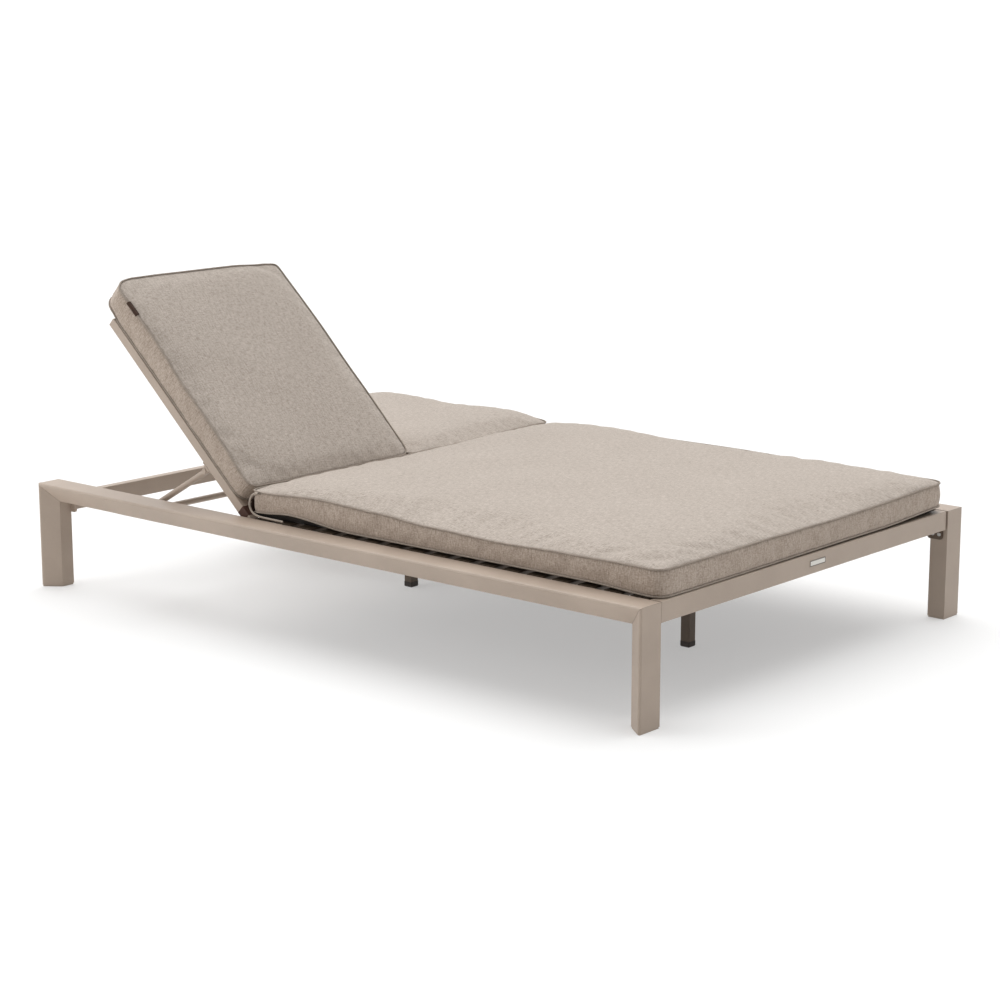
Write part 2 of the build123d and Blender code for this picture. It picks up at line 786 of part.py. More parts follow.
def cushion_tie():
    """The near cord loop at the seat cushion's corner, close to the side of its boxing."""
    radius = cushion_corner_radius
    widest = cushion_half(seat_cushion_length, seat_cushion_width, radius, radius, radius)
    y = -(widest + side_swell(tie_radius) + soft_clearance + tie_radius)
    x_edge = seat_cushion_start + cushion_corner_radius / 2
    z_low = frame_height + seat_cushion_lift + tie_radius
    z_high = z_low + tie_loop_height
    x_far = x_edge - tie_loop_width
    route = [(x_edge, z_high), (x_far, z_high), (x_far, z_low), (x_edge + tie_tail, z_low)]
    points = [Vector(x, y, z) for x, z in route]
    path = FilletPolyline(*points, radius=tie_bend_radius)
    return sweep(Plane(origin=points[0], z_dir=points[1] - points[0]) * Circle(tie_radius), path=path)


def flat_stile(y_middle, tail_y_side):
    """One side tube of the flat backrest, mitred at its top end."""
    x_end = hinge_x - backrest_length
    start = (x_end, y_middle, hinge_z)
    end = (hinge_x + stile_tail, y_middle, hinge_z)
    tube = box_tube(start, end, stile_size, stile_size, stile_wall, stile_edge_radius, (0, 1, 0))
    corner = (x_end, y_middle - tail_y_side * stile_size / 2, hinge_z)
    tube = split(tube, bisect_by=Plane(corner, z_dir=(1, -tail_y_side, 0)), keep=Keep.TOP)
    hole_low = y_middle - stile_size
    hole_high = y_middle + stile_size
    return tube - cross_bar(hinge_x, hinge_z, hole_low, hole_high, bush_radius)


def flat_top_tube():
    """The tube across the backrest's top, mitred at both ends."""
    x = hinge_x - backrest_length + stile_size / 2
    y_low = outer_stile_y - stile_size / 2
    y_high = inner_stile_y + stile_size / 2
    start, end = (x, y_low, hinge_z), (x, y_high, hinge_z)
    tube = box_tube(start, end, stile_size, stile_size, stile_wall, stile_edge_radius, (1, 0, 0))
    x_end = hinge_x - backrest_length
    tube = split(tube, bisect_by=Plane((x_end, y_low, hinge_z), z_dir=(-1, 1, 0)), keep=Keep.TOP)
    return split(tube, bisect_by=Plane((x_end, y_high, hinge_z), z_dir=(-1, -1, 0)), keep=Keep.TOP)


def flat_bottom_tube():
    """The tube across the backrest near its hinge."""
    x = hinge_x - bottom_tube_start - stile_size / 2
    start = (x, outer_stile_y + stile_size / 2, hinge_z)
    end = (x, inner_stile_y - stile_size / 2, hinge_z)
    return box_tube(start, end, stile_size, stile_size, stile_wall, stile_edge_radius, (1, 0, 0))


def flat_back_slats():
    """The slats between the stiles, level with the backrest's front."""
    first = hinge_x - back_slat_start - slat_width / 2
    last = hinge_x - backrest_length + stile_size + back_slat_end_gap + slat_width / 2
    pitch = (last - first) / (back_slat_count - 1)
    y_low = outer_stile_y + stile_size / 2
    y_high = inner_stile_y - stile_size / 2
    return group(*[slat(first + pitch * number, y_low, y_high) for number in range(back_slat_count)])


def flat_stile_caps():
    """Plastic caps on the stiles' ends at the hinge."""
    x_low = hinge_x + stile_tail + stile_cap_gap
    half = stile_size / 2
    caps = []
    for y in (outer_stile_y, inner_stile_y):
        cap = block((x_low, y - half, hinge_z - half), (x_low + stile_cap_thickness, y + half, hinge_z + half))
        caps.append(fillet(cap.edges().filter_by(Axis.X), stile_edge_radius))
    return group(*caps)


def flat_hinge_bushes():
    """Flanged bushes in the stiles, the flange towards the spacer ring."""
    bushes = []
    for y, side in ((outer_stile_y, -1), (inner_stile_y, 1)):
        face = y + side * stile_size / 2
        flange_end = face + side * bush_flange_thickness
        bush = cross_bar(hinge_x, hinge_z, y - side * stile_size / 2, face, bush_radius)
        bush += cross_bar(hinge_x, hinge_z, face, flange_end, bush_flange_radius)
        bore_low, bore_high = y - stile_size, y + stile_size
        bushes.append(bush - cross_bar(hinge_x, hinge_z, bore_low, bore_high, pin_radius + pin_clearance))
    return group(*bushes)


def flat_prop_lugs():
    """The forked lugs under the stiles that the prop's arms hang in."""
    x, z = backrest_point(0, prop_pivot_distance, prop_pivot_depth)
    under = hinge_z - stile_size / 2
    half = stile_size / 2
    lugs = []
    for y in (outer_stile_y, inner_stile_y):
        base_low = (x - lug_length / 2, y - half, under - lug_thickness)
        lug = block(base_low, (x + lug_length / 2, y + half, under))
        for side in (-1, 1):
            y_out = y + side * half
            y_in = y_out - side * lug_thickness
            y_low, y_high = min(y_out, y_in), max(y_out, y_in)
            lug += block((x - lug_round, y_low, z), (x + lug_round, y_high, under))
            lug += cross_bar(x, z, y_low, y_high, lug_round)
        lugs.append(lug - cross_bar(x, z, y - stile_size, y + stile_size, prop_pin_radius))
    return group(*lugs)


def flat_prop_pins():
    """The pins through the lugs and the prop's arms."""
    x, z = backrest_point(0, prop_pivot_distance, prop_pivot_depth)
    pins = []
    for y in (outer_stile_y, inner_stile_y):
        grip = stile_size / 2
        pin = cross_bar(x, z, y - grip, y + grip, prop_pin_radius)
        for side in (-1, 1):
            start = y + side * grip
            pin += cross_bar(x, z, start, start + side * prop_pin_head_height, prop_pin_head_radius)
        pins.append(pin)
    return group(*pins)


def flat_prop():
    """The bent prop tube with its arms level, hung from the flat backrest's lugs."""
    x, z = backrest_point(0, prop_pivot_distance, prop_pivot_depth)
    x_bar = x - prop_arm_length
    x_tail = x + prop_tail
    corners = [(x_tail, outer_stile_y, z), (x_bar, outer_stile_y, z)]
    corners += [(x_bar, inner_stile_y, z), (x_tail, inner_stile_y, z)]
    path = FilletPolyline(*corners, radius=prop_bend_radius)
    start = Plane(origin=corners[0], z_dir=(-1, 0, 0))
    tube = sweep(start * Circle(prop_radius), path=path)
    tube -= sweep(start * Circle(prop_radius - prop_wall), path=path)
    hole = prop_pin_radius + pin_clearance
    for y in (outer_stile_y, inner_stile_y):
        tube -= cross_bar(x, z, y - stile_size, y + stile_size, hole)
    return tube


def flat_back_cushion(crown):
    """A back cushion on the flat backrest, its lower end at the hinge."""
    corners = (back_top_corner_radius, cushion_corner_radius)
    pad = cushion(back_cushion_length, back_cushion_width, back_cushion_lift, crown, *corners)
    return Pos(back_cushion_start, back_cushion_y, frame_height) * pad


def flat_cushion_tag():
    """A blank tab beside the seam at the near top corner of a back cushion."""
    x_low = back_cushion_start + tag_from_top
    seam = frame_height + back_cushion_lift + boxing_height
    corners = (back_top_corner_radius, cushion_corner_radius)
    half = cushion_half(back_cushion_length, back_cushion_width, *corners, tag_from_top)
    y = back_cushion_y - half - side_swell(tag_depth / 2) - soft_clearance
    low = (x_low, y - tag_thickness, seam - tag_depth / 2)
    high = (x_low + tag_length, y, seam + tag_depth / 2)
    return block(low, high)


def raise_back(shape, angle):
    """Turn a flat backrest piece up about the hinge, solid by solid."""
    return group(*[solid.rotate(hinge_axis, angle) for solid in shape.solids()])


def raise_cushion(shape, angle):
    """Turn a back cushion up, and push it up the backrest as the seat cushion does."""
    push = back_cushion_slide * angle / near_back_angle
    return raise_back(Pos(-push, 0, 0) * shape, angle)


def place_prop(shape, back_angle):
    """Hang the prop from the raised backrest at its own slope."""
    flat_x, flat_z = backrest_point(0, prop_pivot_distance, prop_pivot_depth)
    x, z = backrest_point(back_angle, prop_pivot_distance, prop_pivot_depth)
    pivot = Axis((flat_x, 0, flat_z), (0, 1, 0))
    return Pos(x - flat_x, 0, z - flat_z) * shape.rotate(pivot, -prop_angle(back_angle))


nodes = {
    "near_side_rail": side_rail(),
    "near_head_leg": side_leg(),
    "near_foot_leg": foot_side_leg(),
    "head_rail": cross_rail((head_rail_front + head_rail_back) / 2, beam_width, head_rail_bottom, beam_top),
    "foot_rail": cross_rail((foot_rail_inner + foot_rail_outer) / 2, foot_rail_depth, rail_bottom, frame_height),
    "hinge_cross_rail": cross_rail(hinge_rail_middle, beam_width, beam_bottom, beam_top),
    "head_centre_beam": head_centre_beam(),
    "seat_centre_beam": centre_beam(hinge_rail_back, foot_rail_inner - end_plate_thickness),
    "beam_end_plate": beam_end_plate(),
    "hinge_centre_leg": centre_leg(hinge_rail_middle),
    "foot_centre_leg": centre_leg(foot_centre_leg_x),
    "centre_leg_plates": group(centre_leg_plate(hinge_rail_middle), centre_leg_plate(foot_centre_leg_x)),
    "centre_leg_caps": group(centre_leg_cap(hinge_rail_middle), centre_leg_cap(foot_centre_leg_x)),
    "seat_slats": seat_slats(),
    "slat_screws": slat_screws(),
    "centre_slat_bearer": centre_slat_bearer(),
    "frame_bolts": frame_bolts(),
    "rivet_nuts": rivet_nuts(),
    "centre_hinge_bracket": centre_hinge_bracket(),
    "centre_hinge_pin": centre_hinge_pin(),
    "hinge_spacers": hinge_spacers(),
    "rest_pads": rest_pads(),
    "badge_plate": badge_plate(),
    "seat_cushion": seat_cushion(),
}

# Pieces that the far side repeats as a mirror image
nodes["far_side_rail"] = far_copy(nodes["near_side_rail"])
nodes["far_head_leg"] = far_copy(nodes["near_head_leg"])
nodes["far_foot_leg"] = far_copy(nodes["near_foot_leg"])

near_glides = [leg_glide(), mirror(leg_glide(), about=Plane.YZ)]
nodes["leg_glides"] = group(*near_glides, *[far_copy(glide) for glide in near_glides])

pairs = {
    "head_rail_end_plates": head_rail_end_plate(),
    "foot_rail_end_plates": foot_rail_end_plate(),
    "hinge_rail_end_plates": hinge_rail_end_plate(),
    "slat_ledges": slat_ledge(),
    "side_hinge_bolts": side_hinge_bolt(),
    "cushion_ties": cushion_tie(),
}
for name, piece in pairs.items():
    nodes[name] = group(piece, far_copy(piece))

nodes["near_racks"] = group(outer_rack(), inner_rack())
nodes["far_racks"] = far_copy(nodes["near_racks"])

# The backrests with what rides on them, the near one raised and the far one flat
flat_pieces = {
    "outer_stile": flat_stile(outer_stile_y, 1),
    "inner_stile": flat_stile(inner_stile_y, -1),
    "top_tube": flat_top_tube(),
    "bottom_tube": flat_bottom_tube(),
    "back_slats": flat_back_slats(),
    "stile_caps": flat_stile_caps(),
    "hinge_bushes": flat_hinge_bushes(),
    "prop_lugs": flat_prop_lugs(),
    "prop_pins": flat_prop_pins(),
}
for name, piece in flat_pieces.items():
    nodes["near_" + name] = raise_back(piece, near_back_angle)
    nodes["far_" + name] = raise_back(far_copy(piece), far_back_angle)

prop = flat_prop()
nodes["near_prop"] = place_prop(prop, near_back_angle)
nodes["far_prop"] = place_prop(far_copy(prop), far_back_angle)

near_cushion = flat_back_cushion(near_back_crown)
far_cushion = far_copy(flat_back_cushion(far_back_crown))
nodes["near_back_cushion"] = raise_cushion(near_cushion, near_back_angle)
nodes["far_back_cushion"] = raise_cushion(far_cushion, far_back_angle)
nodes["cushion_tag"] = raise_cushion(flat_cushion_tag(), near_back_angle)

os.makedirs("parts", exist_ok=True)
for name, shape in nodes.items():
    export_step(shape, "parts/" + name + ".step")
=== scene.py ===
import json
from math import cos, pi, radians, sin, sqrt

import bmesh
import bpy
from mathutils import Matrix, Vector, noise


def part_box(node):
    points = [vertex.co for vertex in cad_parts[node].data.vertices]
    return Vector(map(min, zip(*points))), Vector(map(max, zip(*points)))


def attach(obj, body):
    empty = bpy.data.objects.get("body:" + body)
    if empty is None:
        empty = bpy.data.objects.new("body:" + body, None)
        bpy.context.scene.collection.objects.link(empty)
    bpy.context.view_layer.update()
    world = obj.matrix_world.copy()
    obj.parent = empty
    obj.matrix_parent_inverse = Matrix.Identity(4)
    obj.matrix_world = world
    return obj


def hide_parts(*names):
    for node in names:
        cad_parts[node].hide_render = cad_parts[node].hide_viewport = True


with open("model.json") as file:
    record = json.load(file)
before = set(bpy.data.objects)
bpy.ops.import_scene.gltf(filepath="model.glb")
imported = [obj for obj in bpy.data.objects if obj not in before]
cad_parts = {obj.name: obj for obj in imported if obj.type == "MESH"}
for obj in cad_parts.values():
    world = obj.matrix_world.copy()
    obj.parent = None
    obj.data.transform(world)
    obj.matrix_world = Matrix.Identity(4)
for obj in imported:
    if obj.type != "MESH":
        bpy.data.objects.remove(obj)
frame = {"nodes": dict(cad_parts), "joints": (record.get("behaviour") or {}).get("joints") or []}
nodes = frame["nodes"]
joints = {joint["name"]: joint for joint in frame["joints"]}
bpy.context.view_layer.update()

# The camera stands where the photograph was taken, off the near foot corner and a little
# above eye level of a seated person, and looks along the lounger towards its head end.
camera_place = (3.9241, -4.5227, 1.5481)
camera_turn = (77.9107, 0.0, 40.680)
camera_lens = 85.495
camera_sensor = 36.0

camera_data = bpy.data.cameras.new("camera")
camera_data.lens = camera_lens
camera_data.sensor_width = camera_sensor
camera = bpy.data.objects.new("camera", camera_data)
camera.location = camera_place
camera.rotation_euler = [radians(turn) for turn in camera_turn]
bpy.context.scene.collection.objects.link(camera)
bpy.context.scene.camera = camera

# The studio: a pale table without an edge that is lit from below too, a very wide soft light
# overhead, one at the near head end, and a white surround that is brighter behind the lounger.
floor_half_size = 500.0
floor_colour = (0.52, 0.52, 0.517, 1.0)
floor_light = (0.535, 0.535, 0.532, 1.0)
floor_glow = 0.38
floor_tone_size = 3.0
floor_roughness = 0.9
surround_middle = 0.62
surround_slope = 0.42
surround_towards = (-0.65, 0.76, 0.0)
overhead_watts = 2.3
overhead_spread = 75.0
overhead_place = (0.0, 0.0, 4.0)
overhead_lean = (-14.0, -10.0)
side_place = (-3.2, -4.2, 2.0)
side_size = 2.4
side_watts = 66.0


def new_object(name, mesh):
    """An object at the origin that shows a mesh."""
    made = bpy.data.objects.new(name, mesh)
    bpy.context.scene.collection.objects.link(made)
    return made


def new_material(name):
    """A node material, its node tree and its Principled shader."""
    material = bpy.data.materials.new(name)
    material.use_nodes = True
    return material, material.node_tree, material.node_tree.nodes["Principled BSDF"]


def add_node(tree, kind, inputs=None, **settings):
    """A node with its settings, and with each input linked or given a value."""
    node = tree.nodes.new(kind)
    for key, value in settings.items():
        setattr(node, key, value)
    for key, value in (inputs or {}).items():
        if isinstance(value, bpy.types.NodeSocket):
            tree.links.new(value, node.inputs[key])
        else:
            node.inputs[key].default_value = value
    return node


def maths(tree, operation, *values):
    """The result of a Math node."""
    node = add_node(tree, "ShaderNodeMath", dict(enumerate(values)), operation=operation)
    return node.outputs[0]


def colour_steps(tree, factor, *steps):
    """A colour ramp through (place, colour) steps."""
    ramp = add_node(tree, "ShaderNodeValToRGB", {"Fac": factor})
    first, last = ramp.color_ramp.elements
    first.position, first.color = steps[0]
    last.position, last.color = steps[-1]
    for place, colour in steps[1:-1]:
        ramp.color_ramp.elements.new(place).color = colour
    return ramp.outputs["Color"]


def noise_at(tree, place, size, detail=2.0, stretch=(1.0, 1.0, 1.0)):
    """Noise with features of a size in metres, drawn out along an axis where stretch is under 1."""
    spread = add_node(tree, "ShaderNodeMapping", {"Vector": place, "Scale": stretch})
    settings = {"Vector": spread.outputs[0], "Scale": 1.0 / size, "Detail": detail}
    return add_node(tree, "ShaderNodeTexNoise", settings).outputs["Fac"]


floor_mesh = bpy.data.meshes.new("floor")
floor_sides = ((-1, -1), (1, -1), (1, 1), (-1, 1))
floor_corners = [(x * floor_half_size, y * floor_half_size, 0) for x, y in floor_sides]
floor_mesh.from_pydata(floor_corners, [], [(0, 1, 2, 3)])
floor_material, tree, shader = new_material("pale floor")
place = add_node(tree, "ShaderNodeTexCoord").outputs["Object"]
unevenness = noise_at(tree, place, floor_tone_size)
tone = colour_steps(tree, unevenness, (0.3, floor_colour), (0.7, floor_light))
tree.links.new(tone, shader.inputs["Base Color"])
shader.inputs["Roughness"].default_value = floor_roughness
shader.inputs["Emission Color"].default_value = (1.0, 1.0, 1.0, 1.0)
shader.inputs["Emission Strength"].default_value = floor_glow
floor_mesh.materials.append(floor_material)
new_object("floor", floor_mesh)

world = bpy.data.worlds.new("surround")
bpy.context.scene.world = world
world.use_nodes = True
tree = world.node_tree
direction = add_node(tree, "ShaderNodeTexCoord").outputs["Generated"]
facing = {0: direction, 1: surround_towards}
behind = add_node(tree, "ShaderNodeVectorMath", facing, operation="DOT_PRODUCT").outputs["Value"]
strength = maths(tree, "MULTIPLY_ADD", behind, surround_slope, surround_middle)
surround = tree.nodes["Background"]
surround.inputs["Color"].default_value = (1.0, 1.0, 1.0, 1.0)
tree.links.new(strength, surround.inputs["Strength"])
bpy.context.scene.view_settings.view_transform = "Standard"

overhead_data = bpy.data.lights.new("overhead light", "SUN")
overhead_data.energy = overhead_watts
overhead_data.angle = radians(overhead_spread)
overhead = bpy.data.objects.new("overhead light", overhead_data)
overhead.location = overhead_place
overhead.rotation_euler = (radians(overhead_lean[0]), radians(overhead_lean[1]), 0.0)
bpy.context.scene.collection.objects.link(overhead)

side_data = bpy.data.lights.new("side light", "AREA")
side_data.shape = "SQUARE"
side_data.size = side_size
side_data.energy = side_watts
side_light = bpy.data.objects.new("side light", side_data)
side_light.location = side_place
side_light.rotation_euler = (-Vector(side_place)).to_track_quat("-Z", "Y").to_euler()
bpy.context.scene.collection.objects.link(side_light)

# The frame is aluminium tube and extrusion, mitred and welded, then powder coated in a fine
# textured champagne taupe. Its tone and gloss vary a little from place to place.
coat_colour = (0.408, 0.326, 0.262, 1.0)
coat_dark = (0.384, 0.305, 0.244, 1.0)
coat_light = (0.434, 0.349, 0.282, 1.0)
coat_joint_colour = (0.13, 0.105, 0.085, 1.0)
coat_grain_size = 0.0009
coat_patch_size = 0.12
coat_roughness = 0.39
coat_roughness_spread = 0.14
coat_grain_depth = 0.00012
coat_grain_tones = ((0.93, 0.93, 0.93, 1.0), (1.06, 1.06, 1.06, 1.0))
mitre_half_width = 0.0006
mitre_strength = 0.7
coated_nodes = (
    "near_side_rail far_side_rail near_head_leg near_foot_leg far_head_leg far_foot_leg head_rail "
    "foot_rail hinge_cross_rail head_rail_end_plates hinge_rail_end_plates head_centre_beam "
    "seat_centre_beam beam_end_plate centre_slat_bearer near_racks far_racks centre_hinge_bracket"
).split()
backrest_parts = "outer_stile inner_stile top_tube bottom_tube back_slats prop_lugs prop_pins prop"
coated_nodes += [side + "_" + part for side in ("near", "far") for part in backrest_parts.split()]


def mix_colours(tree, factor, first, second, blend="MIX"):
    """Two colours mixed by a factor."""
    node = add_node(tree, "ShaderNodeMix", data_type="RGBA", blend_type=blend)
    for socket, value in ((node.inputs[0], factor), (node.inputs[6], first), (node.inputs[7], second)):
        if isinstance(value, bpy.types.NodeSocket):
            tree.links.new(value, socket)
        else:
            socket.default_value = value
    return node.outputs[2]


def bump(tree, height, distance, strength, under=None):
    """A normal bumped by a height, on top of another normal if one is given."""
    inputs = {"Height": height, "Distance": distance, "Strength": strength}
    if under:
        inputs["Normal"] = under
    return add_node(tree, "ShaderNodeBump", inputs).outputs[0]


def finish_surface(tree, shader, colour, roughness, height, depth, strength, under=None):
    """Give a shader its colour and relief, and a roughness that is a number or a socket."""
    tree.links.new(colour, shader.inputs["Base Color"])
    tree.links.new(bump(tree, height, depth, strength, under), shader.inputs["Normal"])
    if isinstance(roughness, bpy.types.NodeSocket):
        tree.links.new(roughness, shader.inputs["Roughness"])
    else:
        shader.inputs["Roughness"].default_value = roughness


def powder_coat(name, tones, mitred=False):
    """Textured powder coating, with a fine dark line along the side frames' mitres."""
    dark, middle, light = tones
    material, tree, shader = new_material(name)
    place = add_node(tree, "ShaderNodeTexCoord").outputs["Object"]
    patches = noise_at(tree, place, coat_patch_size, detail=3.0)
    grain = noise_at(tree, place, coat_grain_size, detail=1.0)
    colour = colour_steps(tree, patches, (0.3, dark), (0.5, middle), (0.72, light))
    fleck = colour_steps(tree, grain, (0.35, coat_grain_tones[0]), (0.7, coat_grain_tones[1]))
    colour = mix_colours(tree, 1.0, colour, fleck, "MULTIPLY")
    if mitred:
        axes = add_node(tree, "ShaderNodeSeparateXYZ", {"Vector": place}).outputs
        from_end = maths(tree, "SUBTRACT", rail_end, maths(tree, "ABSOLUTE", axes["X"]))
        from_top = maths(tree, "SUBTRACT", rail_top, axes["Z"])
        off_joint = maths(tree, "ABSOLUTE", maths(tree, "SUBTRACT", from_end, from_top))
        line = maths(tree, "LESS_THAN", off_joint, mitre_half_width)
        line = maths(tree, "MULTIPLY", line, mitre_strength)
        colour = mix_colours(tree, line, colour, coat_joint_colour)
    roughness = maths(tree, "MULTIPLY_ADD", patches, coat_roughness_spread, coat_roughness)
    finish_surface(tree, shader, colour, roughness, height=grain, depth=coat_grain_depth, strength=0.6)
    return material


def dress(node, material):
    """Give every face of a CAD node one material."""
    mesh = nodes[node].data
    mesh.materials.clear()
    mesh.materials.append(material)


rail_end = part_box("near_side_rail")[1].x
rail_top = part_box("near_side_rail")[1].z
coat_tones = (coat_dark, coat_colour, coat_light)
coat = powder_coat("powder coat", coat_tones)
mitred_coat = powder_coat("powder coat with mitre", coat_tones, mitred=True)
for node in coated_nodes:
    dress(node, mitred_coat if node.endswith(("side_rail", "_leg")) else coat)

# The two centre legs are thin steel tube on welded plates, coated a dark bronze brown, and their
# near-black tone is also painted shade for the shade under the seat. The seat's slats, the ledges
# that carry them and the foot rail's end plates get the same near-black colour as painted shade,
# for the shade in the gap below the cushion's edge and in the slots at the rail's ends.
bronze_and_shade_tones = ((0.082, 0.054, 0.034, 1.0), (0.098, 0.066, 0.042, 1.0), (0.114, 0.078, 0.052, 1.0))
bronze_and_shade_nodes = (
    "hinge_centre_leg foot_centre_leg centre_leg_plates foot_rail_end_plates seat_slats slat_ledges"
).split()
bronze_and_shade_coat = powder_coat("dark bronze coat", bronze_and_shade_tones)
for node in bronze_and_shade_nodes:
    dress(node, bronze_and_shade_coat)

# Plastic closes the tube ends: glides under the four legs in the frame's colour, and dark
# moulded caps under the centre legs and at the stiles' lower ends.
glide_colour = (0.37, 0.305, 0.25, 1.0)
cap_colour = (0.026, 0.017, 0.012, 1.0)
plastic_grain_size = 0.0014
plastic_grain_depth = 0.0001
plastic_grain_light = 1.25


def moulded_plastic(name, colour, roughness):
    """Plastic with a fine eroded mould texture and faint tone changes."""
    material, tree, shader = new_material(name)
    place = add_node(tree, "ShaderNodeTexCoord").outputs["Object"]
    grain = noise_at(tree, place, plastic_grain_size)
    light = tuple(min(1.0, value * plastic_grain_light) for value in colour[:3]) + (1.0,)
    tone = colour_steps(tree, grain, (0.3, colour), (0.75, light))
    finish_surface(tree, shader, tone, roughness, height=grain, depth=plastic_grain_depth, strength=0.7)
    return material


dress("leg_glides", moulded_plastic("taupe glide plastic", glide_colour, 0.6))
cap_plastic = moulded_plastic("dark cap plastic", cap_colour, 0.55)
for node in ("centre_leg_caps", "near_stile_caps", "far_stile_caps"):
    dress(node, cap_plastic)

# Nylon bushes and spacer rings keep the backrests' hinges quiet, and rubber pads on the head
# rail take the stiles when a backrest lies flat.
nylon_colour = (0.62, 0.60, 0.55, 1.0)
rubber_colour = (0.032, 0.031, 0.030, 1.0)
nylon = moulded_plastic("natural nylon", nylon_colour, 0.42)
for node in ("near_hinge_bushes", "far_hinge_bushes", "hinge_spacers"):
    dress(node, nylon)
dress("rest_pads", moulded_plastic("pad rubber", rubber_colour, 0.85))

# The rivet nuts, the hinges' pin and bolts and, in the next section, all other bolts and screws
# are stainless steel. Turning and tumbling leave fine marks on them.
steel_colour = (0.56, 0.55, 0.53, 1.0)
steel_dull_colour = (0.482, 0.473, 0.456, 1.0)
steel_mark_size = 0.0025
steel_mark_depth = 0.00004
steel_roughness = 0.2
steel_roughness_spread = 0.25


def plain_steel():
    """Stainless steel with short fine marks."""
    material, tree, shader = new_material("stainless steel")
    place = add_node(tree, "ShaderNodeTexCoord").outputs["Object"]
    marks = noise_at(tree, place, steel_mark_size, detail=4.0, stretch=(1.0, 1.0, 0.15))
    tone = colour_steps(tree, marks, (0.3, steel_dull_colour), (0.7, steel_colour))
    roughness = maths(tree, "MULTIPLY_ADD", marks, steel_roughness_spread, steel_roughness)
    finish_surface(tree, shader, tone, roughness, height=marks, depth=steel_mark_depth, strength=0.5)
    shader.inputs["Metallic"].default_value = 1.0
    return material


steel = plain_steel()
for node in ("rivet_nuts", "centre_hinge_pin", "side_hinge_bolts"):
    dress(node, steel)

# Low button head bolts hold the frame's plates and racks, and smaller screws come up through
# the ledges into the slats. All have a hexagon socket and stand as they were tightened.
bolt_rings = (
    (0.0, 0.0009, False),
    (0.0024, 0.0009, True),
    (0.0024, 0.00175, True),
    (0.0031, 0.0020, False),
    (0.0043, 0.00165, False),
    (0.0049, 0.0008, False),
    (0.0050, 0.0, False),
    (0.0030, 0.0, False),
    (0.0030, -0.0174, False),
    (0.0024, -0.0180, False),
    (0.0, -0.0180, False),
)
screw_rings = (
    (0.0, 0.0012, False),
    (0.0017, 0.0012, True),
    (0.0017, 0.0023, True),
    (0.0023, 0.0025, False),
    (0.0035, 0.0019, False),
    (0.0040, 0.0006, False),
    (0.0040, 0.0, False),
    (0.0020, 0.0, False),
    (0.0020, -0.0046, False),
    (0.0, -0.0060, False),
)
ring_points = 18
tightening_seed = 7
bolt_head = 0.002
screw_head = 0.0025
longest_rack_bolt = 0.015


def shell(name, points, faces, *materials):
    """An object of faces that are all turned outwards."""
    mesh = bpy.data.meshes.new(name)
    mesh.from_pydata(points, [], faces)
    turned = bmesh.new()
    turned.from_mesh(mesh)
    bmesh.ops.recalc_face_normals(turned, faces=turned.faces)
    turned.to_mesh(mesh)
    turned.free()
    for material in materials:
        mesh.materials.append(material)
    return new_object(name, mesh)


def turned_bolt(name, rings):
    """A bolt turned about z, its head's underside at z = 0, from (radius, height, six-sided)."""
    points, loops, faces = [], [], []
    for radius, height, six_sided in rings:
        loop = []
        for k in range(ring_points if radius else 1):
            angle = 2 * pi * k / ring_points
            reach = radius
            if six_sided:
                reach *= cos(pi / 6) / cos(angle % (pi / 3) - pi / 6)
            loop.append(len(points))
            points.append((reach * cos(angle), reach * sin(angle), height))
        loops.append(loop)
    for upper, lower in zip(loops, loops[1:]):
        for k in range(ring_points):
            corners = ((upper, k), (lower, k), (lower, k + 1), (upper, k + 1))
            ring = [loop[place % len(loop)] for loop, place in corners]
            faces.append(list(dict.fromkeys(ring)))
    return shell(name, points, faces)


def loose_boxes(node):
    """The lowest and highest corners of each loose solid of a CAD node."""
    copy = bmesh.new()
    copy.from_mesh(nodes[node].data)
    bmesh.ops.remove_doubles(copy, verts=copy.verts, dist=0.000001)
    left, boxes = set(copy.verts), []
    while left:
        reached = [left.pop()]
        for vertex in reached:
            for edge in vertex.link_edges:
                other = edge.other_vert(vertex)
                if other in left:
                    left.remove(other)
                    reached.append(other)
        places = [vertex.co for vertex in reached]
        low = Vector([min(place[axis] for place in places) for axis in range(3)])
        high = Vector([max(place[axis] for place in places) for axis in range(3)])
        boxes.append((low, high))
    copy.free()
    return sorted(boxes, key=lambda box: tuple(round(value, 5) for value in box[0]))


def begin_tree(name, **inputs):
    """A geometry nodes tree with named inputs of the given kinds, and their sockets in it."""
    tree = bpy.data.node_groups.new(name, "GeometryNodeTree")
    for title, kind in inputs.items():
        tree.interface.new_socket(title, in_out="INPUT", socket_type="NodeSocket" + kind)
    tree.interface.new_socket("Made", in_out="OUTPUT", socket_type="NodeSocketGeometry")
    return tree, tree.nodes.new("NodeGroupInput").outputs


def end_tree(tree, geometry, material):
    """Make a tree's instances real, give them the material and put them out."""
    real = add_node(tree, "GeometryNodeRealizeInstances", {"Geometry": geometry})
    dressed = {"Geometry": real.outputs[0], "Material": material}
    finish = add_node(tree, "GeometryNodeSetMaterial", dressed)
    tree.links.new(finish.outputs[0], tree.nodes.new("NodeGroupOutput").inputs[0])


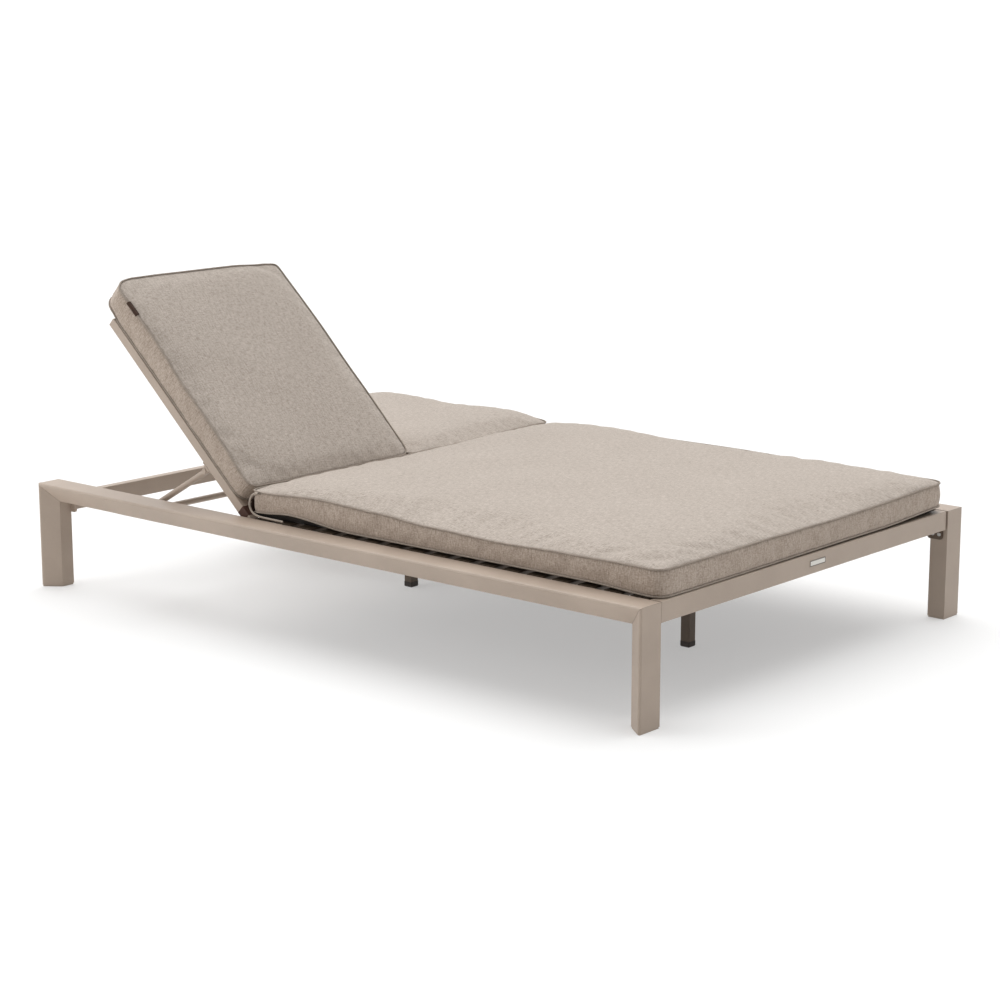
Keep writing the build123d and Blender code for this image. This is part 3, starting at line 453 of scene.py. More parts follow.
def fastener_tree():
    """Geometry nodes that set a bolt on every point, along the point's facing, turned at random."""
    inputs = {"Places": "Geometry", "Bolt": "Object", "Seed": "Int", "Material": "Material"}
    tree, given = begin_tree("fasteners", **inputs)
    facing = add_node(tree, "GeometryNodeInputNamedAttribute", data_type="FLOAT_VECTOR")
    facing.inputs["Name"].default_value = "facing"
    towards = {"Vector": facing.outputs[0]}
    aim = add_node(tree, "FunctionNodeAlignRotationToVector", towards, axis="Z")
    spin = add_node(tree, "FunctionNodeRandomValue", {"Seed": given["Seed"]}, data_type="FLOAT")
    turn = maths(tree, "MULTIPLY", spin.outputs["Value"], 2 * pi)
    about = add_node(tree, "FunctionNodeAxisAngleToRotation", {"Angle": turn})
    turns = {"Rotation": aim.outputs[0], "Rotate By": about.outputs[0]}
    turned = add_node(tree, "FunctionNodeRotateRotation", turns, rotation_space="LOCAL")
    bolt = add_node(tree, "GeometryNodeObjectInfo", {"Object": given["Bolt"]})
    shape = bolt.outputs["Geometry"]
    stand = {"Points": given["Places"], "Instance": shape, "Rotation": turned.outputs[0]}
    placed = add_node(tree, "GeometryNodeInstanceOnPoints", stand)
    end_tree(tree, placed.outputs[0], given["Material"])
    return tree


def grown(name, seed_mesh, tree, values):
    """The plain mesh that a geometry nodes tree makes from a mesh, with its named inputs set."""
    seed = new_object(name, seed_mesh)
    modifier = seed.modifiers.new(tree.name, "NODES")
    modifier.node_group = tree
    for socket in tree.interface.items_tree:
        if socket.item_type == "SOCKET" and socket.in_out == "INPUT" and socket.name in values:
            modifier[socket.identifier] = values[socket.name]
    graph = bpy.context.evaluated_depsgraph_get()
    mesh = bpy.data.meshes.new_from_object(seed.evaluated_get(graph))
    bpy.data.objects.remove(seed)
    return new_object(name, mesh)


def set_fasteners(name, places, bolt, node):
    """Bolts at (place of the head's underside, direction of the head), standing for a CAD node."""
    seats = bpy.data.meshes.new(name + " places")
    seats.from_pydata([place for place, facing in places], [], [])
    facings = seats.attributes.new("facing", "FLOAT_VECTOR", "POINT")
    facings.data.foreach_set("vector", [value for place, facing in places for value in facing])
    sizes = {"Bolt": bolt, "Seed": tightening_seed, "Material": steel}
    piece = grown(name, seats, fasteners, sizes)
    bpy.data.objects.remove(bolt)
    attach(piece, "frame")
    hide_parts(node)


fasteners = fastener_tree()
bolt_places = []
for low, high in loose_boxes("frame_bolts"):
    middle = (low + high) / 2
    facing = -1 if middle.y > 0 else 1
    if high.y - low.y < longest_rack_bolt:
        facing = -facing
    seat_y = high.y - bolt_head if facing > 0 else low.y + bolt_head
    bolt_places.append((Vector((middle.x, seat_y, middle.z)), (0, facing, 0)))
button_bolt = turned_bolt("button bolt", bolt_rings)
set_fasteners("frame_button_bolts", bolt_places, button_bolt, "frame_bolts")

screw_places = []
for low, high in loose_boxes("slat_screws"):
    middle = (low + high) / 2
    screw_places.append((Vector((middle.x, middle.y, low.z + screw_head)), (0, 0, -1)))
button_screw = turned_bolt("button screw", screw_rings)
set_fasteners("slat_button_screws", screw_places, button_screw, "slat_screws")

# The cushions are foam blocks in woven outdoor cloth of mixed greige yarns: a top panel, a boxing
# strip round the sides, thin piping sewn into both seams, and a dark non-slip mesh underneath, whose
# near black is also painted shade for the gap under the cushions' edges.
# Each cover is cut to its seams, then swelled over its foam in a short cloth simulation.
cloth_colours = ((0.245, 0.200, 0.165, 1.0), (0.425, 0.366, 0.315, 1.0), (0.590, 0.525, 0.470, 1.0))
cloth_tone_steps = (0.365, 0.525, 0.685)
# Painted shade: the boxing's cloth is the panels' cloth darkened and warmed, for the less lit sides.
boxing_shade_tint = (0.93, 0.87, 0.82)
yarn_pitch = 0.0016
yarn_length = 0.013
yarn_part = 0.36
slub_width = 0.0032
slub_stretch = 0.16
fleck_size = 0.0042
cloth_patch_size = 0.18
cloth_patch_part = 0.05
weave_depth = 0.0004
ripple_size = 0.045
ripple_depth = 0.0012
# Painted shade beside the piping: the colour the cloth darkens to near its seams, and how far out.
seam_shade = (0.42, 0.39, 0.36, 1.0)
seam_shade_reach = (0.00231, 0.0042)
# Near black: the mesh's own dark colour, and painted shade for the gap under the cushions' edges.
underside_and_shade_colours = ((0.012, 0.009, 0.007, 1.0), (0.030, 0.023, 0.018, 1.0))
underside_pitch = 0.0022
underside_wear_size = 0.03


def weighed(tree, *parts):
    """The sum of (value, weight) pairs."""
    total = maths(tree, "MULTIPLY", *parts[0])
    for value, weight in parts[1:]:
        total = maths(tree, "MULTIPLY_ADD", value, weight, total)
    return total


def wave(tree, value, turns):
    """A sine wave along a value, of so many radians to the metre."""
    return maths(tree, "SINE", maths(tree, "MULTIPLY", value, turns))


def crossed_waves(tree, first, second, turns):
    """The chequer of two waves multiplied, from 0 to 1."""
    both = maths(tree, "MULTIPLY", wave(tree, first, turns), wave(tree, second, turns))
    return maths(tree, "MULTIPLY_ADD", both, 0.5, 0.5)


def threads(tree, place, width, stretch, share):
    """Upright streaks and level ones, mixed by the level ones' share."""
    upright = noise_at(tree, place, width, detail=1.0, stretch=(1.0, stretch, 1.0))
    level = noise_at(tree, place, width, detail=1.0, stretch=(stretch, 1.0, 1.0))
    return add_node(tree, "ShaderNodeMix", {0: share, 2: upright, 3: level}).outputs[0]


def woven_cloth(name, level_share, slub_part, tint=(1.0, 1.0, 1.0)):
    """Plain woven melange cloth, laid out by the piece's own cloth map, which is in metres."""
    material, tree, shader = new_material(name)
    place = add_node(tree, "ShaderNodeUVMap", uv_map="cloth").outputs[0]
    axes = add_node(tree, "ShaderNodeSeparateXYZ", {"Vector": place}).outputs
    over = crossed_waves(tree, axes["X"], axes["Y"], 2 * pi / yarn_pitch)
    yarns = threads(tree, place, yarn_pitch, yarn_pitch / yarn_length, over)
    slubs = threads(tree, place, slub_width, slub_stretch, level_share)
    flecks = noise_at(tree, place, fleck_size)
    patches = noise_at(tree, place, cloth_patch_size)
    parts = [(yarns, yarn_part), (slubs, slub_part), (flecks, 1.0 - yarn_part - slub_part)]
    tone = weighed(tree, *parts, (patches, cloth_patch_part))
    tinted = [(r * tint[0], g * tint[1], b * tint[2], a) for r, g, b, a in cloth_colours]
    colour = colour_steps(tree, tone, *zip(cloth_tone_steps, tinted))
    # Painted shade: the cloth darkens next to its seams, for the shadow where the piping meets the panel.
    from_seam = add_node(tree, "ShaderNodeAttribute", attribute_name="from_seam").outputs["Fac"]
    shade_steps = zip(seam_shade_reach, (seam_shade, (1.0, 1.0, 1.0, 1.0)))
    shade = colour_steps(tree, from_seam, *shade_steps)
    colour = mix_colours(tree, 1.0, colour, shade, "MULTIPLY")
    shader.inputs["Sheen Weight"].default_value = 0.22
    shader.inputs["Sheen Roughness"].default_value = 0.45
    shader.inputs["Sheen Tint"].default_value = (1.0, 0.96, 0.92, 1.0)
    ripple = bump(tree, noise_at(tree, place, ripple_size), ripple_depth, strength=0.45)
    height = weighed(tree, (over, 0.7), (yarns, 1.0), (slubs, 1.0))
    relief = {"height": height, "depth": weave_depth, "strength": 0.8, "under": ripple}
    finish_surface(tree, shader, colour, roughness=0.9, **relief)
    return material


def underside_mesh_and_shade():
    """The dark non-slip mesh under a cushion, its near black partly painted shade under the edge."""
    material, tree, shader = new_material("underside mesh")
    place = add_node(tree, "ShaderNodeUVMap", uv_map="cloth").outputs[0]
    axes = add_node(tree, "ShaderNodeSeparateXYZ", {"Vector": place}).outputs
    knots = crossed_waves(tree, axes["X"], axes["Y"], 2 * pi / underside_pitch)
    wear = noise_at(tree, place, underside_wear_size, detail=3.0)
    tone = weighed(tree, (knots, 0.6), (wear, 0.4))
    colour = colour_steps(tree, tone, *zip((0.2, 0.8), underside_and_shade_colours))
    finish_surface(tree, shader, colour, roughness=0.95, height=knots, depth=weave_depth, strength=0.8)
    return material


cloth = woven_cloth("woven cloth", level_share=0.55, slub_part=0.40)
# The boxing's copy of the cloth is darkened by its tint as painted shade.
boxing_cloth = woven_cloth("woven cloth of the boxing", level_share=0.15, slub_part=0.30, tint=boxing_shade_tint)
underside = underside_mesh_and_shade()

# Painted shade: the piping's cloth is darker than the panels' for the shade along the seams.
piping_shade_colours = ((0.200, 0.160, 0.128, 1.0), (0.400, 0.340, 0.285, 1.0))
piping_radius = 0.0023
piping_out = 0.00115
piping_step = 0.006
piping_fine_size = 0.0016
piping_broad_size = 0.02
cushion_cell = 0.013
boxing_rows = 6
corner_zone_share = 3.0
cloth_frames = 18
cloth_pressure = 2.2
cloth_slack = 0.012
furthest_move = 0.006
seam_crease = 0.9
roll_power = 5
belly_slope = 8.0
side_draw = 0.002
end_draw = 0.0012
side_bulge = 0.003
rest_gap = 0.0004
uneven_size = 0.22
uneven_height = 0.0030
panel_layer = 3.0
boxing_uneven_size = 0.08
boxing_uneven_height = 0.0012
boxing_layer = 7.0


def rounded_corner(x, y, half_x, half_y, radius):
    """Pull a point of a rectangle in so that its corner becomes an arc of the radius."""
    zone = corner_zone_share * radius
    u = (abs(x) - half_x + zone) / zone
    v = (abs(y) - half_y + zone) / zone
    if u <= 0 or v <= 0:
        return x, y
    reach = max(u, v)
    low = 1 - radius / zone
    a, b = u / reach, v / reach
    scale = 1.0
    if min(a, b) > low:
        dot = (a + b) * low
        square = a * a + b * b
        scale = (dot + sqrt(dot * dot - square * (2 * low * low - (1 - low) ** 2))) / square
    pull = 1 + (scale - 1) * reach**2
    u, v = u * pull, v * pull
    x = (half_x - zone + u * zone) * (1 if x > 0 else -1)
    y = (half_y - zone + v * zone) * (1 if y > 0 else -1)
    return x, y


def along_seam(table, share):
    """A smooth value between (share of the seam's length, value) points."""
    for (place_a, value_a), (place_b, value_b) in zip(table, table[1:]):
        if share <= place_b:
            part = (share - place_a) / (place_b - place_a)
            part = part * part * (3 - 2 * part)
            return value_a + (value_b - value_a) * part
    return table[-1][1]


def from_edges(edges, s, t):
    """A panel's rise where its four seams rise as given, dying out towards its middle."""
    near, far, start, finish = edges
    fade = ((1 - s) ** 3, s**3, (1 - t) ** 3, t**3)
    rise = fade[2] * along_seam(near, s) + fade[3] * along_seam(far, s)
    rise += fade[0] * along_seam(start, t) + fade[1] * along_seam(finish, t)
    rise -= fade[0] * (fade[2] * near[0][1] + fade[3] * far[0][1])
    return rise - fade[1] * (fade[2] * near[-1][1] + fade[3] * far[-1][1])


class Cushion:
    """A boxed cushion lying flat, from x = 0 to its length and z = 0 at what it lies on."""

    def __init__(self, name, length, width, low, high, crown, seed):
        self.name = name
        self.length, self.width = length, width
        self.low, self.high, self.crown = low, high, crown
        self.seed = seed
        self.columns = round(length / cushion_cell)
        self.rows = round(width / cushion_cell)

    def sew(self, radii, top_edges, bottom_edges, start_bow, finish_bow):
        """Give it its corner radii, how its seams rise, and how its two ends bow out."""
        self.radii = radii
        self.top_edges, self.bottom_edges = top_edges, bottom_edges
        self.start_bow, self.finish_bow = start_bow, finish_bow

    def plan(self, i, j):
        """The place of a panel point, with drawn-in sides and rounded corners."""
        s, t = i / self.columns, j / self.rows
        half_x = self.length / 2 - end_draw * sin(pi * t)
        half_y = self.width / 2 - side_draw * sin(pi * s)
        radius = self.radii[(1 if s > 0.5 else 0) * 2 + (1 if t > 0.5 else 0)]
        x, y = rounded_corner((2 * s - 1) * half_x, (2 * t - 1) * half_y, half_x, half_y, radius)
        x += self.length / 2 - along_seam(self.start_bow, t) * (1 - s) ** 2
        return x + along_seam(self.finish_bow, t) * s**2, y

    def swell(self, i, j):
        """From 0 at the seams to 1 in the middle of a panel."""
        s, t = 2 * i / self.columns - 1, 2 * j / self.rows - 1
        return sqrt((1 - abs(s) ** roll_power) * (1 - abs(t) ** roll_power))

    def wander(self, x, y, layer, size, height):
        """A small smooth unevenness, of its own for each cushion and layer."""
        return noise.noise(Vector((x / size, y / size, layer + self.seed))) * height

    def point(self, i, j, level):
        """A point of a panel, the top at level 1 and the bottom at level 0."""
        x, y = self.plan(i, j)
        s, t = i / self.columns, j / self.rows
        swell = self.swell(i, j)
        if level:
            z = self.high + self.crown * swell + from_edges(self.top_edges, s, t)
            z += self.wander(x, y, panel_layer, uneven_size, uneven_height)
        else:
            edge = max(0.0, self.low + from_edges(self.bottom_edges, s, t) - rest_gap)
            z = rest_gap + edge * (1 - min(1.0, belly_slope * swell))
        return Vector((x, y, z))

    def rim(self):
        """The panel's outline as (i, j) pairs, once round."""
        last_i, last_j = self.columns, self.rows
        near_and_finish = [(i, 0) for i in range(last_i)] + [(last_i, j) for j in range(last_j)]
        return near_and_finish + [(last_i - i, last_j - j) for i, j in near_and_finish]

    def build(self):
        """The closed mesh, its cloth map and its seam loops as lists of vertex numbers."""
        points, faces, maps = [], [], []
        wide = self.rows + 1

        def panel(level):
            first = len(points)
            for i in range(self.columns + 1):
                for j in range(wide):
                    points.append(self.point(i, j, level))
            return first

        top, bottom = panel(1), panel(0)

        def cell(first, i, j):
            return [first + (i + di) * wide + j + dj for di, dj in ((0, 0), (1, 0), (1, 1), (0, 1))]

        for i in range(self.columns):
            for j in range(self.rows):
                for first, order in ((top, 1), (bottom, -1)):
                    ring = cell(first, i, j)[::order]
                    faces.append(ring)
                    maps.append([points[k].xy for k in ring])
        rim = self.rim()
        loops = [[top + i * wide + j for i, j in rim]]
        for row in range(1, boxing_rows):
            share = row / boxing_rows
            loop = []
            for i, j in rim:
                high, low = points[top + i * wide + j], points[bottom + i * wide + j]
                loop.append(len(points))
                points.append(high.lerp(low, share))
            loops.append(loop)
        loops.append([bottom + i * wide + j for i, j in rim])
        count = len(rim)
        walk = [0.0]
        for k in range(count):
            a, b = points[loops[0][k]], points[loops[0][(k + 1) % count]]
            walk.append(walk[-1] + (b - a).length)
        uneven = (boxing_layer, boxing_uneven_size, boxing_uneven_height)
        for row in range(1, boxing_rows):
            out = side_bulge * (1 - (2 * row / boxing_rows - 1) ** 2)
            for k in range(count):
                a, b = points[loops[0][k - 1]], points[loops[0][(k + 1) % count]]
                along = (b - a).normalized()
                side = Vector((along.y, -along.x, 0))
                points[loops[row][k]] += side * (out + self.wander(walk[k], row, *uneven))
        for row in range(boxing_rows):
            down = -(self.high - self.low) * row / boxing_rows
            below = -(self.high - self.low) * (row + 1) / boxing_rows
            for k in range(count):
                n = (k + 1) % count
                faces.append([loops[row][k], loops[row + 1][k], loops[row + 1][n], loops[row][n]])
                start, end = walk[k], walk[k + 1]
                maps.append([(start, down), (start, below), (end, below), (end, down)])
        mesh = bpy.data.meshes.new(self.name)
        mesh.from_pydata(points, [], faces)
        layer = mesh.uv_layers.new(name="cloth")
        layer.data.foreach_set("uv", [value for ring in maps for place in ring for value in place])
        self.seams = (loops[0], loops[-1])
        on_seam = set(loops[0]) | set(loops[-1])
        distances = [0.0 if k in on_seam else cushion_cell for k in range(len(points))]
        reach = mesh.attributes.new("from_seam", "FLOAT", "POINT")
        reach.data.foreach_set("value", distances)
        crease = mesh.attributes.new("crease_edge", "FLOAT", "EDGE")
        seam_pairs = set()
        for loop in self.seams:
            seam_pairs |= {frozenset((loop[k - 1], loop[k])) for k in range(count)}
        for edge in mesh.edges:
            if frozenset(edge.vertices) in seam_pairs:
                crease.data[edge.index].value = seam_crease
        panel_faces = 2 * self.columns * self.rows
        for face in mesh.polygons:
            face.material_index = 1 if face.index >= panel_faces else 2 * (face.index % 2)
            face.use_smooth = True
        return mesh


def inflate(piece, seams):
    """Let the cover swell over its foam in a cloth simulation, held at its seams by the piping."""
    start = [vertex.co.copy() for vertex in piece.data.vertices]
    group = piece.vertex_groups.new(name="seams")
    group.add([number for loop in seams for number in loop], 1.0, "REPLACE")
    modifier = piece.modifiers.new("cloth", "CLOTH")
    settings = modifier.settings
    settings.quality = 5
    settings.mass = 0.3
    settings.tension_stiffness = settings.compression_stiffness = 25
    settings.shear_stiffness = 8
    settings.bending_stiffness = 0.6
    settings.use_pressure = True
    settings.uniform_pressure_force = cloth_pressure
    settings.vertex_group_mass = "seams"
    settings.shrink_min = -cloth_slack
    settings.effector_weights.gravity = 0.0
    modifier.collision_settings.use_self_collision = False
    modifier.point_cache.frame_start, modifier.point_cache.frame_end = 1, cloth_frames
    scene = bpy.context.scene
    for number in range(1, cloth_frames + 1):
        scene.frame_set(number)
    graph = bpy.context.evaluated_depsgraph_get()
    puffed = [vertex.co.copy() for vertex in piece.evaluated_get(graph).data.vertices]
    piece.modifiers.remove(modifier)
    piece.vertex_groups.clear()
    scene.frame_set(1)
    for vertex, old, new in zip(piece.data.vertices, start, puffed):
        move = new - old
        if move.length > furthest_move:
            move *= furthest_move / move.length
        place = old + move
        place.z = max(place.z, rest_gap)
        vertex.co = place


def piping_tree():
    """Geometry nodes that turn a seam's line into round piping."""
    inputs = {"Line": "Geometry", "Radius": "Float", "Step": "Float", "Material": "Material"}
    tree, given = begin_tree("piping", **inputs)
    line = add_node(tree, "GeometryNodeMeshToCurve", {"Mesh": given["Line"]})
    spaced = {"Curve": line.outputs[0], "Length": given["Step"]}
    even = add_node(tree, "GeometryNodeResampleCurve", spaced, mode="LENGTH")
    round_section = {"Resolution": 8, "Radius": given["Radius"]}
    ring = add_node(tree, "GeometryNodeCurvePrimitiveCircle", round_section)
    swept = {"Curve": even.outputs[0], "Profile Curve": ring.outputs[0]}
    tube = add_node(tree, "GeometryNodeCurveToMesh", swept)
    smooth = add_node(tree, "GeometryNodeSetShadeSmooth", {"Geometry": tube.outputs[0]})
    end_tree(tree, smooth.outputs[0], given["Material"])
    return tree


def cloth_piping_material():
    """Bias-cut cloth round the piping cord, darker than the panels as painted shade along the seams."""
    material, tree, shader = new_material("piping cloth")
    place = add_node(tree, "ShaderNodeTexCoord").outputs["Object"]
    fine = noise_at(tree, place, piping_fine_size)
    tone = weighed(tree, (fine, 0.7), (noise_at(tree, place, piping_broad_size), 0.3))
    colour = colour_steps(tree, tone, *zip((0.3, 0.7), piping_shade_colours))
    shader.inputs["Sheen Weight"].default_value = 0.08
    finish_surface(tree, shader, colour, roughness=0.9, height=fine, depth=0.0003, strength=0.7)
    return material


piping_nodes = piping_tree()
piping_cloth = cloth_piping_material()


def piping_line(piece, loop, up):
    """The line that the piping's middle follows, just outside a seam."""
    places = [piece.data.vertices[number].co for number in loop]
    count = len(places)
    line = []
    for k in range(count):
        along = (places[(k + 1) % count] - places[k - 1]).normalized()
        side = Vector((along.y, -along.x, 0)).normalized()
        place = places[k] + (side + Vector((0, 0, up))).normalized() * piping_out
        place.z = max(place.z, piping_radius + rest_gap)
        line.append(place)
    mesh = bpy.data.meshes.new("seam line")
    mesh.from_pydata(line, [(k, (k + 1) % count) for k in range(count)], [])
    return mesh


def finish_cushion(cushion, node, body, place):
    """Sew, fill and place a cushion, with its piping, where its CAD solid is."""
    piece = new_object(cushion.name, cushion.build())
    for material in (cloth, boxing_cloth, underside):
        piece.data.materials.append(material)
    inflate(piece, cushion.seams)
    lines = [piping_line(piece, loop, up) for loop, up in zip(cushion.seams, (1, -1))]
    piece.data.transform(place)
    smooth = piece.modifiers.new("smooth", "SUBSURF")
    smooth.levels = smooth.render_levels = 1
    smooth.boundary_smooth = "PRESERVE_CORNERS"
    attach(piece, body)
    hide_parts(node)
    for edge, line in zip(("top", "bottom"), lines):
        sizes = {"Radius": piping_radius, "Step": piping_step, "Material": piping_cloth}
        piping = grown(cushion.name + "_" + edge + "_piping", line, piping_nodes, sizes)
        piping.data.transform(place)
        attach(piping, body)
    return piece


# The seat cushion is one wide block. Its near seam dips between the places where the piping
# holds it up, as the photograph shows, and its lower seam lifts at the head corner.
seat_low = 0.008
seat_high = 0.070
seat_crown = 0.030
seat_radii = (0.028, 0.032, 0.034, 0.030)
seat_head_bow = ((0.0, 0.0), (0.05, 0.0), (0.12, -0.006), (0.42, -0.006), (0.5, 0.0), (1.0, 0.0))
seat_top_near = (
    (0.0, -0.0035), (0.03, -0.0035), (0.192, 0.0066), (0.349, -0.0017), (0.4615, -0.0095),
    (0.607, -0.0135), (0.78, -0.0075), (0.913, -0.0051), (1.0, -0.007),
)
seat_top_far = ((0.0, 0.004), (0.2, 0.008), (0.5, 0.008), (0.85, 0.003), (1.0, 0.005))
seat_top_head = ((0.0, -0.0035), (0.5, 0.002), (1.0, 0.004))
seat_top_foot = (
    (0.0, -0.007), (0.125, -0.0078), (0.32, -0.0057), (0.75, -0.0059), (0.96, 0.003), (1.0, 0.004),
)
seat_bottom_near = (
    (0.0, 0.006), (0.026, 0.0093), (0.109, 0.0169), (0.27, 0.0023),
    (0.713, 0.0033), (0.848, 0.0036), (0.978, -0.0027), (1.0, -0.0035),
)
seat_bottom_far = ((0.0, 0.003), (0.5, 0.0), (1.0, 0.0085))
seat_bottom_head = ((0.0, 0.006), (1.0, 0.003))
seat_bottom_foot = ((0.0, -0.0035), (0.13, -0.0043), (0.75, -0.001), (1.0, 0.0085))
straight = ((0.0, 0.0), (1.0, 0.0))

seat_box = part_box("seat_cushion")
deck_height = rail_top
seat_length = seat_box[1].x - seat_box[0].x
seat_width = seat_box[1].y - seat_box[0].y - 2 * side_bulge
seat = Cushion("seat_pad", seat_length, seat_width, seat_low, seat_high, seat_crown, 1.0)
seat_top = (seat_top_near, seat_top_far, seat_top_head, seat_top_foot)
seat_bottom = (seat_bottom_near, seat_bottom_far, seat_bottom_head, seat_bottom_foot)
seat.sew(seat_radii, seat_top, seat_bottom, seat_head_bow, straight)
finish_cushion(seat, "seat_cushion", "frame", Matrix.Translation((seat_box[0].x, 0, deck_height)))

# The two back cushions are made like the seat's, to one size. Each lies on its backrest and is
# pushed up it by the seat cushion's end when the backrest rises. The raised near one's top end
# bows out and its lower end sags. The far one lies flat, fuller, with its far seam standing higher.
back_low = 0.0043
back_high = 0.0663
back_crown = 0.009
far_back_crown = 0.024
near_back_radii = (0.042, 0.010, 0.030, 0.026)
far_back_radii = (0.030, 0.036, 0.030, 0.030)
near_back_bow = (
    (0.0, -0.004), (0.064, -0.001), (0.113, 0.003), (0.32, 0.0055),
    (0.73, 0.0055), (0.91, -0.001), (1.0, -0.006),
)
near_back_spread = 0.007
near_seam_shift = 0.0035
near_back_low_bow = ((0.0, 0.001), (0.08, 0.001), (0.2, 0.005), (0.8, 0.005), (1.0, 0.002))
near_back_top_near = (
    (0.0, 0.001), (0.15, 0.004), (0.26, 0.006), (0.36, 0.003), (0.5, -0.004),
    (0.68, -0.0055), (0.81, -0.0085), (0.98, -0.0125), (1.0, -0.013),
)
near_back_top_far = ((0.0, 0.0), (0.3, 0.003), (0.6, -0.002), (1.0, -0.009))
near_back_top_start = ((0.0, 0.001), (1.0, 0.0))
near_back_top_finish = ((0.0, -0.013), (0.5, -0.010), (1.0, -0.009))
near_back_bottom_near = ((0.0, 0.005), (0.06, 0.005), (0.14, -0.002), (0.3, -0.0035), (1.0, -0.003))
near_back_bottom_far = ((0.0, 0.003), (0.2, -0.002), (1.0, -0.003))
near_back_bottom_start = ((0.0, 0.005), (1.0, 0.003))
near_back_bottom_finish = ((0.0, -0.003), (1.0, -0.003))
far_back_top_near = ((0.0, 0.002), (1.0, 0.002))
far_back_top_far = ((0.0, 0.014), (0.15, 0.021), (0.8, 0.020), (1.0, 0.012))
far_back_top_start = ((0.0, 0.002), (1.0, 0.014))
far_back_top_finish = ((0.0, 0.002), (1.0, 0.012))
far_back_bottom_far = ((0.0, 0.001), (0.15, 0.005), (0.8, 0.004), (1.0, 0.001))
far_back_bottom_start = ((0.0, 0.0), (1.0, 0.001))
far_back_bottom_finish = ((0.0, 0.0), (1.0, 0.001))

flat_back_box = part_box("far_back_cushion")
back_length = flat_back_box[1].x - flat_back_box[0].x
back_width = flat_back_box[1].y - flat_back_box[0].y - 2 * side_bulge
near_back_width = back_width + near_back_spread
back_middle_y = (flat_back_box[0].y + flat_back_box[1].y) / 2
hinge_place = Vector(joints["near_backrest_hinge"]["pos_m"])
raised = radians(-joints["near_backrest_hinge"]["range_deg"][0])
pushed = -joints["near_cushion_slide"]["range_m"][0]

near_back = Cushion("near_back_pad", back_length, near_back_width, back_low, back_high, back_crown, 2.0)
near_back_top = (near_back_top_near, near_back_top_far, near_back_top_start, near_back_top_finish)
near_back_bottom = (near_back_bottom_near, near_back_bottom_far)
near_back_bottom += (near_back_bottom_start, near_back_bottom_finish)
near_back.sew(near_back_radii, near_back_top, near_back_bottom, near_back_bow, near_back_low_bow)
far_back = Cushion("far_back_pad", back_length, back_width, back_low, back_high, far_back_crown, 3.0)
far_back_top = (far_back_top_near, far_back_top_far, far_back_top_start, far_back_top_finish)
far_back_bottom = (straight, far_back_bottom_far, far_back_bottom_start, far_back_bottom_finish)
far_back.sew(far_back_radii, far_back_top, far_back_bottom, straight, straight)
near_flat = Matrix.Translation((flat_back_box[0].x - pushed, near_seam_shift - back_middle_y, deck_height))
turn_up = Matrix.Translation(hinge_place) @ Matrix.Rotation(raised, 4, "Y")
turn_up = turn_up @ Matrix.Translation(-hinge_place)
far_place = Matrix.Translation((flat_back_box[0].x, back_middle_y, deck_height))
near_pad = finish_cushion(near_back, "near_back_cushion", "near_cushion", turn_up @ near_flat)
finish_cushion(far_back, "far_back_cushion", "far_cushion", far_place)

# Cord ties are short loops of braided cord, sewn into the seat cushion's upper seam at its two
# head corners, with their tails tucked in under the lower seam.
tie_line = (
    (-0.236, 0.3455), (-0.247, 0.3450), (-0.262, 0.3350), (-0.2695, 0.3150), (-0.2640, 0.2990),
    (-0.2480, 0.2885), (-0.2200, 0.2865), (-0.1850, 0.2865), (-0.1500, 0.2860),
)
tie_side = 0.5915
tie_cord_radius = 0.0026
tie_step = 0.004
tie_strand_turns = 2600.0
tie_fuzz_size = 0.0015
tie_colours = ((0.300, 0.250, 0.205, 1.0), (0.560, 0.490, 0.420, 1.0))


def braided_cord_material():
    """Braided cord in the cloth's colours, with its strands crossing."""
    material, tree, shader = new_material("braided tie cord")
    place = add_node(tree, "ShaderNodeTexCoord").outputs["Object"]
    axes = add_node(tree, "ShaderNodeSeparateXYZ", {"Vector": place}).outputs
    run = maths(tree, "ADD", axes["X"], axes["Z"])
    rising = maths(tree, "ADD", run, axes["Y"])
    falling = maths(tree, "SUBTRACT", run, axes["Y"])
    strands = crossed_waves(tree, rising, falling, tie_strand_turns)
    tone = weighed(tree, (strands, 0.5), (noise_at(tree, place, tie_fuzz_size), 0.5))
    colour = colour_steps(tree, tone, *zip((0.2, 0.8), tie_colours))
    finish_surface(tree, shader, colour, roughness=0.85, height=tone, depth=0.0006, strength=0.8)
    return material


def smooth_line(name, places):
    """A mesh line that runs smoothly through the neighbourhood of a few places."""
    curve = bpy.data.curves.new(name, "CURVE")
    curve.dimensions = "3D"
    curve.resolution_u = 8
    spline = curve.splines.new("NURBS")
    spline.points.add(len(places) - 1)
    for point, place in zip(spline.points, places):
        point.co = (*place, 1.0)
    spline.order_u = 3
    spline.use_endpoint_u = True
    holder = bpy.data.objects.new(name, curve)
    bpy.context.scene.collection.objects.link(holder)
    graph = bpy.context.evaluated_depsgraph_get()
    mesh = bpy.data.meshes.new_from_object(holder.evaluated_get(graph))
    bpy.data.objects.remove(holder)
    return mesh


def join_pieces(name, parts):
    """One object made of several meshes."""
    made = bmesh.new()
    materials = []
    for part in parts:
        first = len(made.faces)
        made.from_mesh(part.data)
        made.faces.ensure_lookup_table()
        offset = len(materials)
        for face in made.faces[first:]:
            face.material_index += offset
        materials.extend(part.data.materials)
        bpy.data.objects.remove(part)
    mesh = bpy.data.meshes.new(name)
    made.to_mesh(mesh)
    made.free()
    for material in materials:
        mesh.materials.append(material)
    return new_object(name, mesh)


tie_cord = braided_cord_material()
ties = []
for side in (-1, 1):
    line = smooth_line("tie line", [(x, side * tie_side, z) for x, z in tie_line])
    sizes = {"Radius": tie_cord_radius, "Step": tie_step, "Material": tie_cord}
    ties.append(grown("tie", line, piping_nodes, sizes))
tie_piece = join_pieces("seat_ties", ties)
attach(tie_piece, "frame")
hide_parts("cushion_ties")
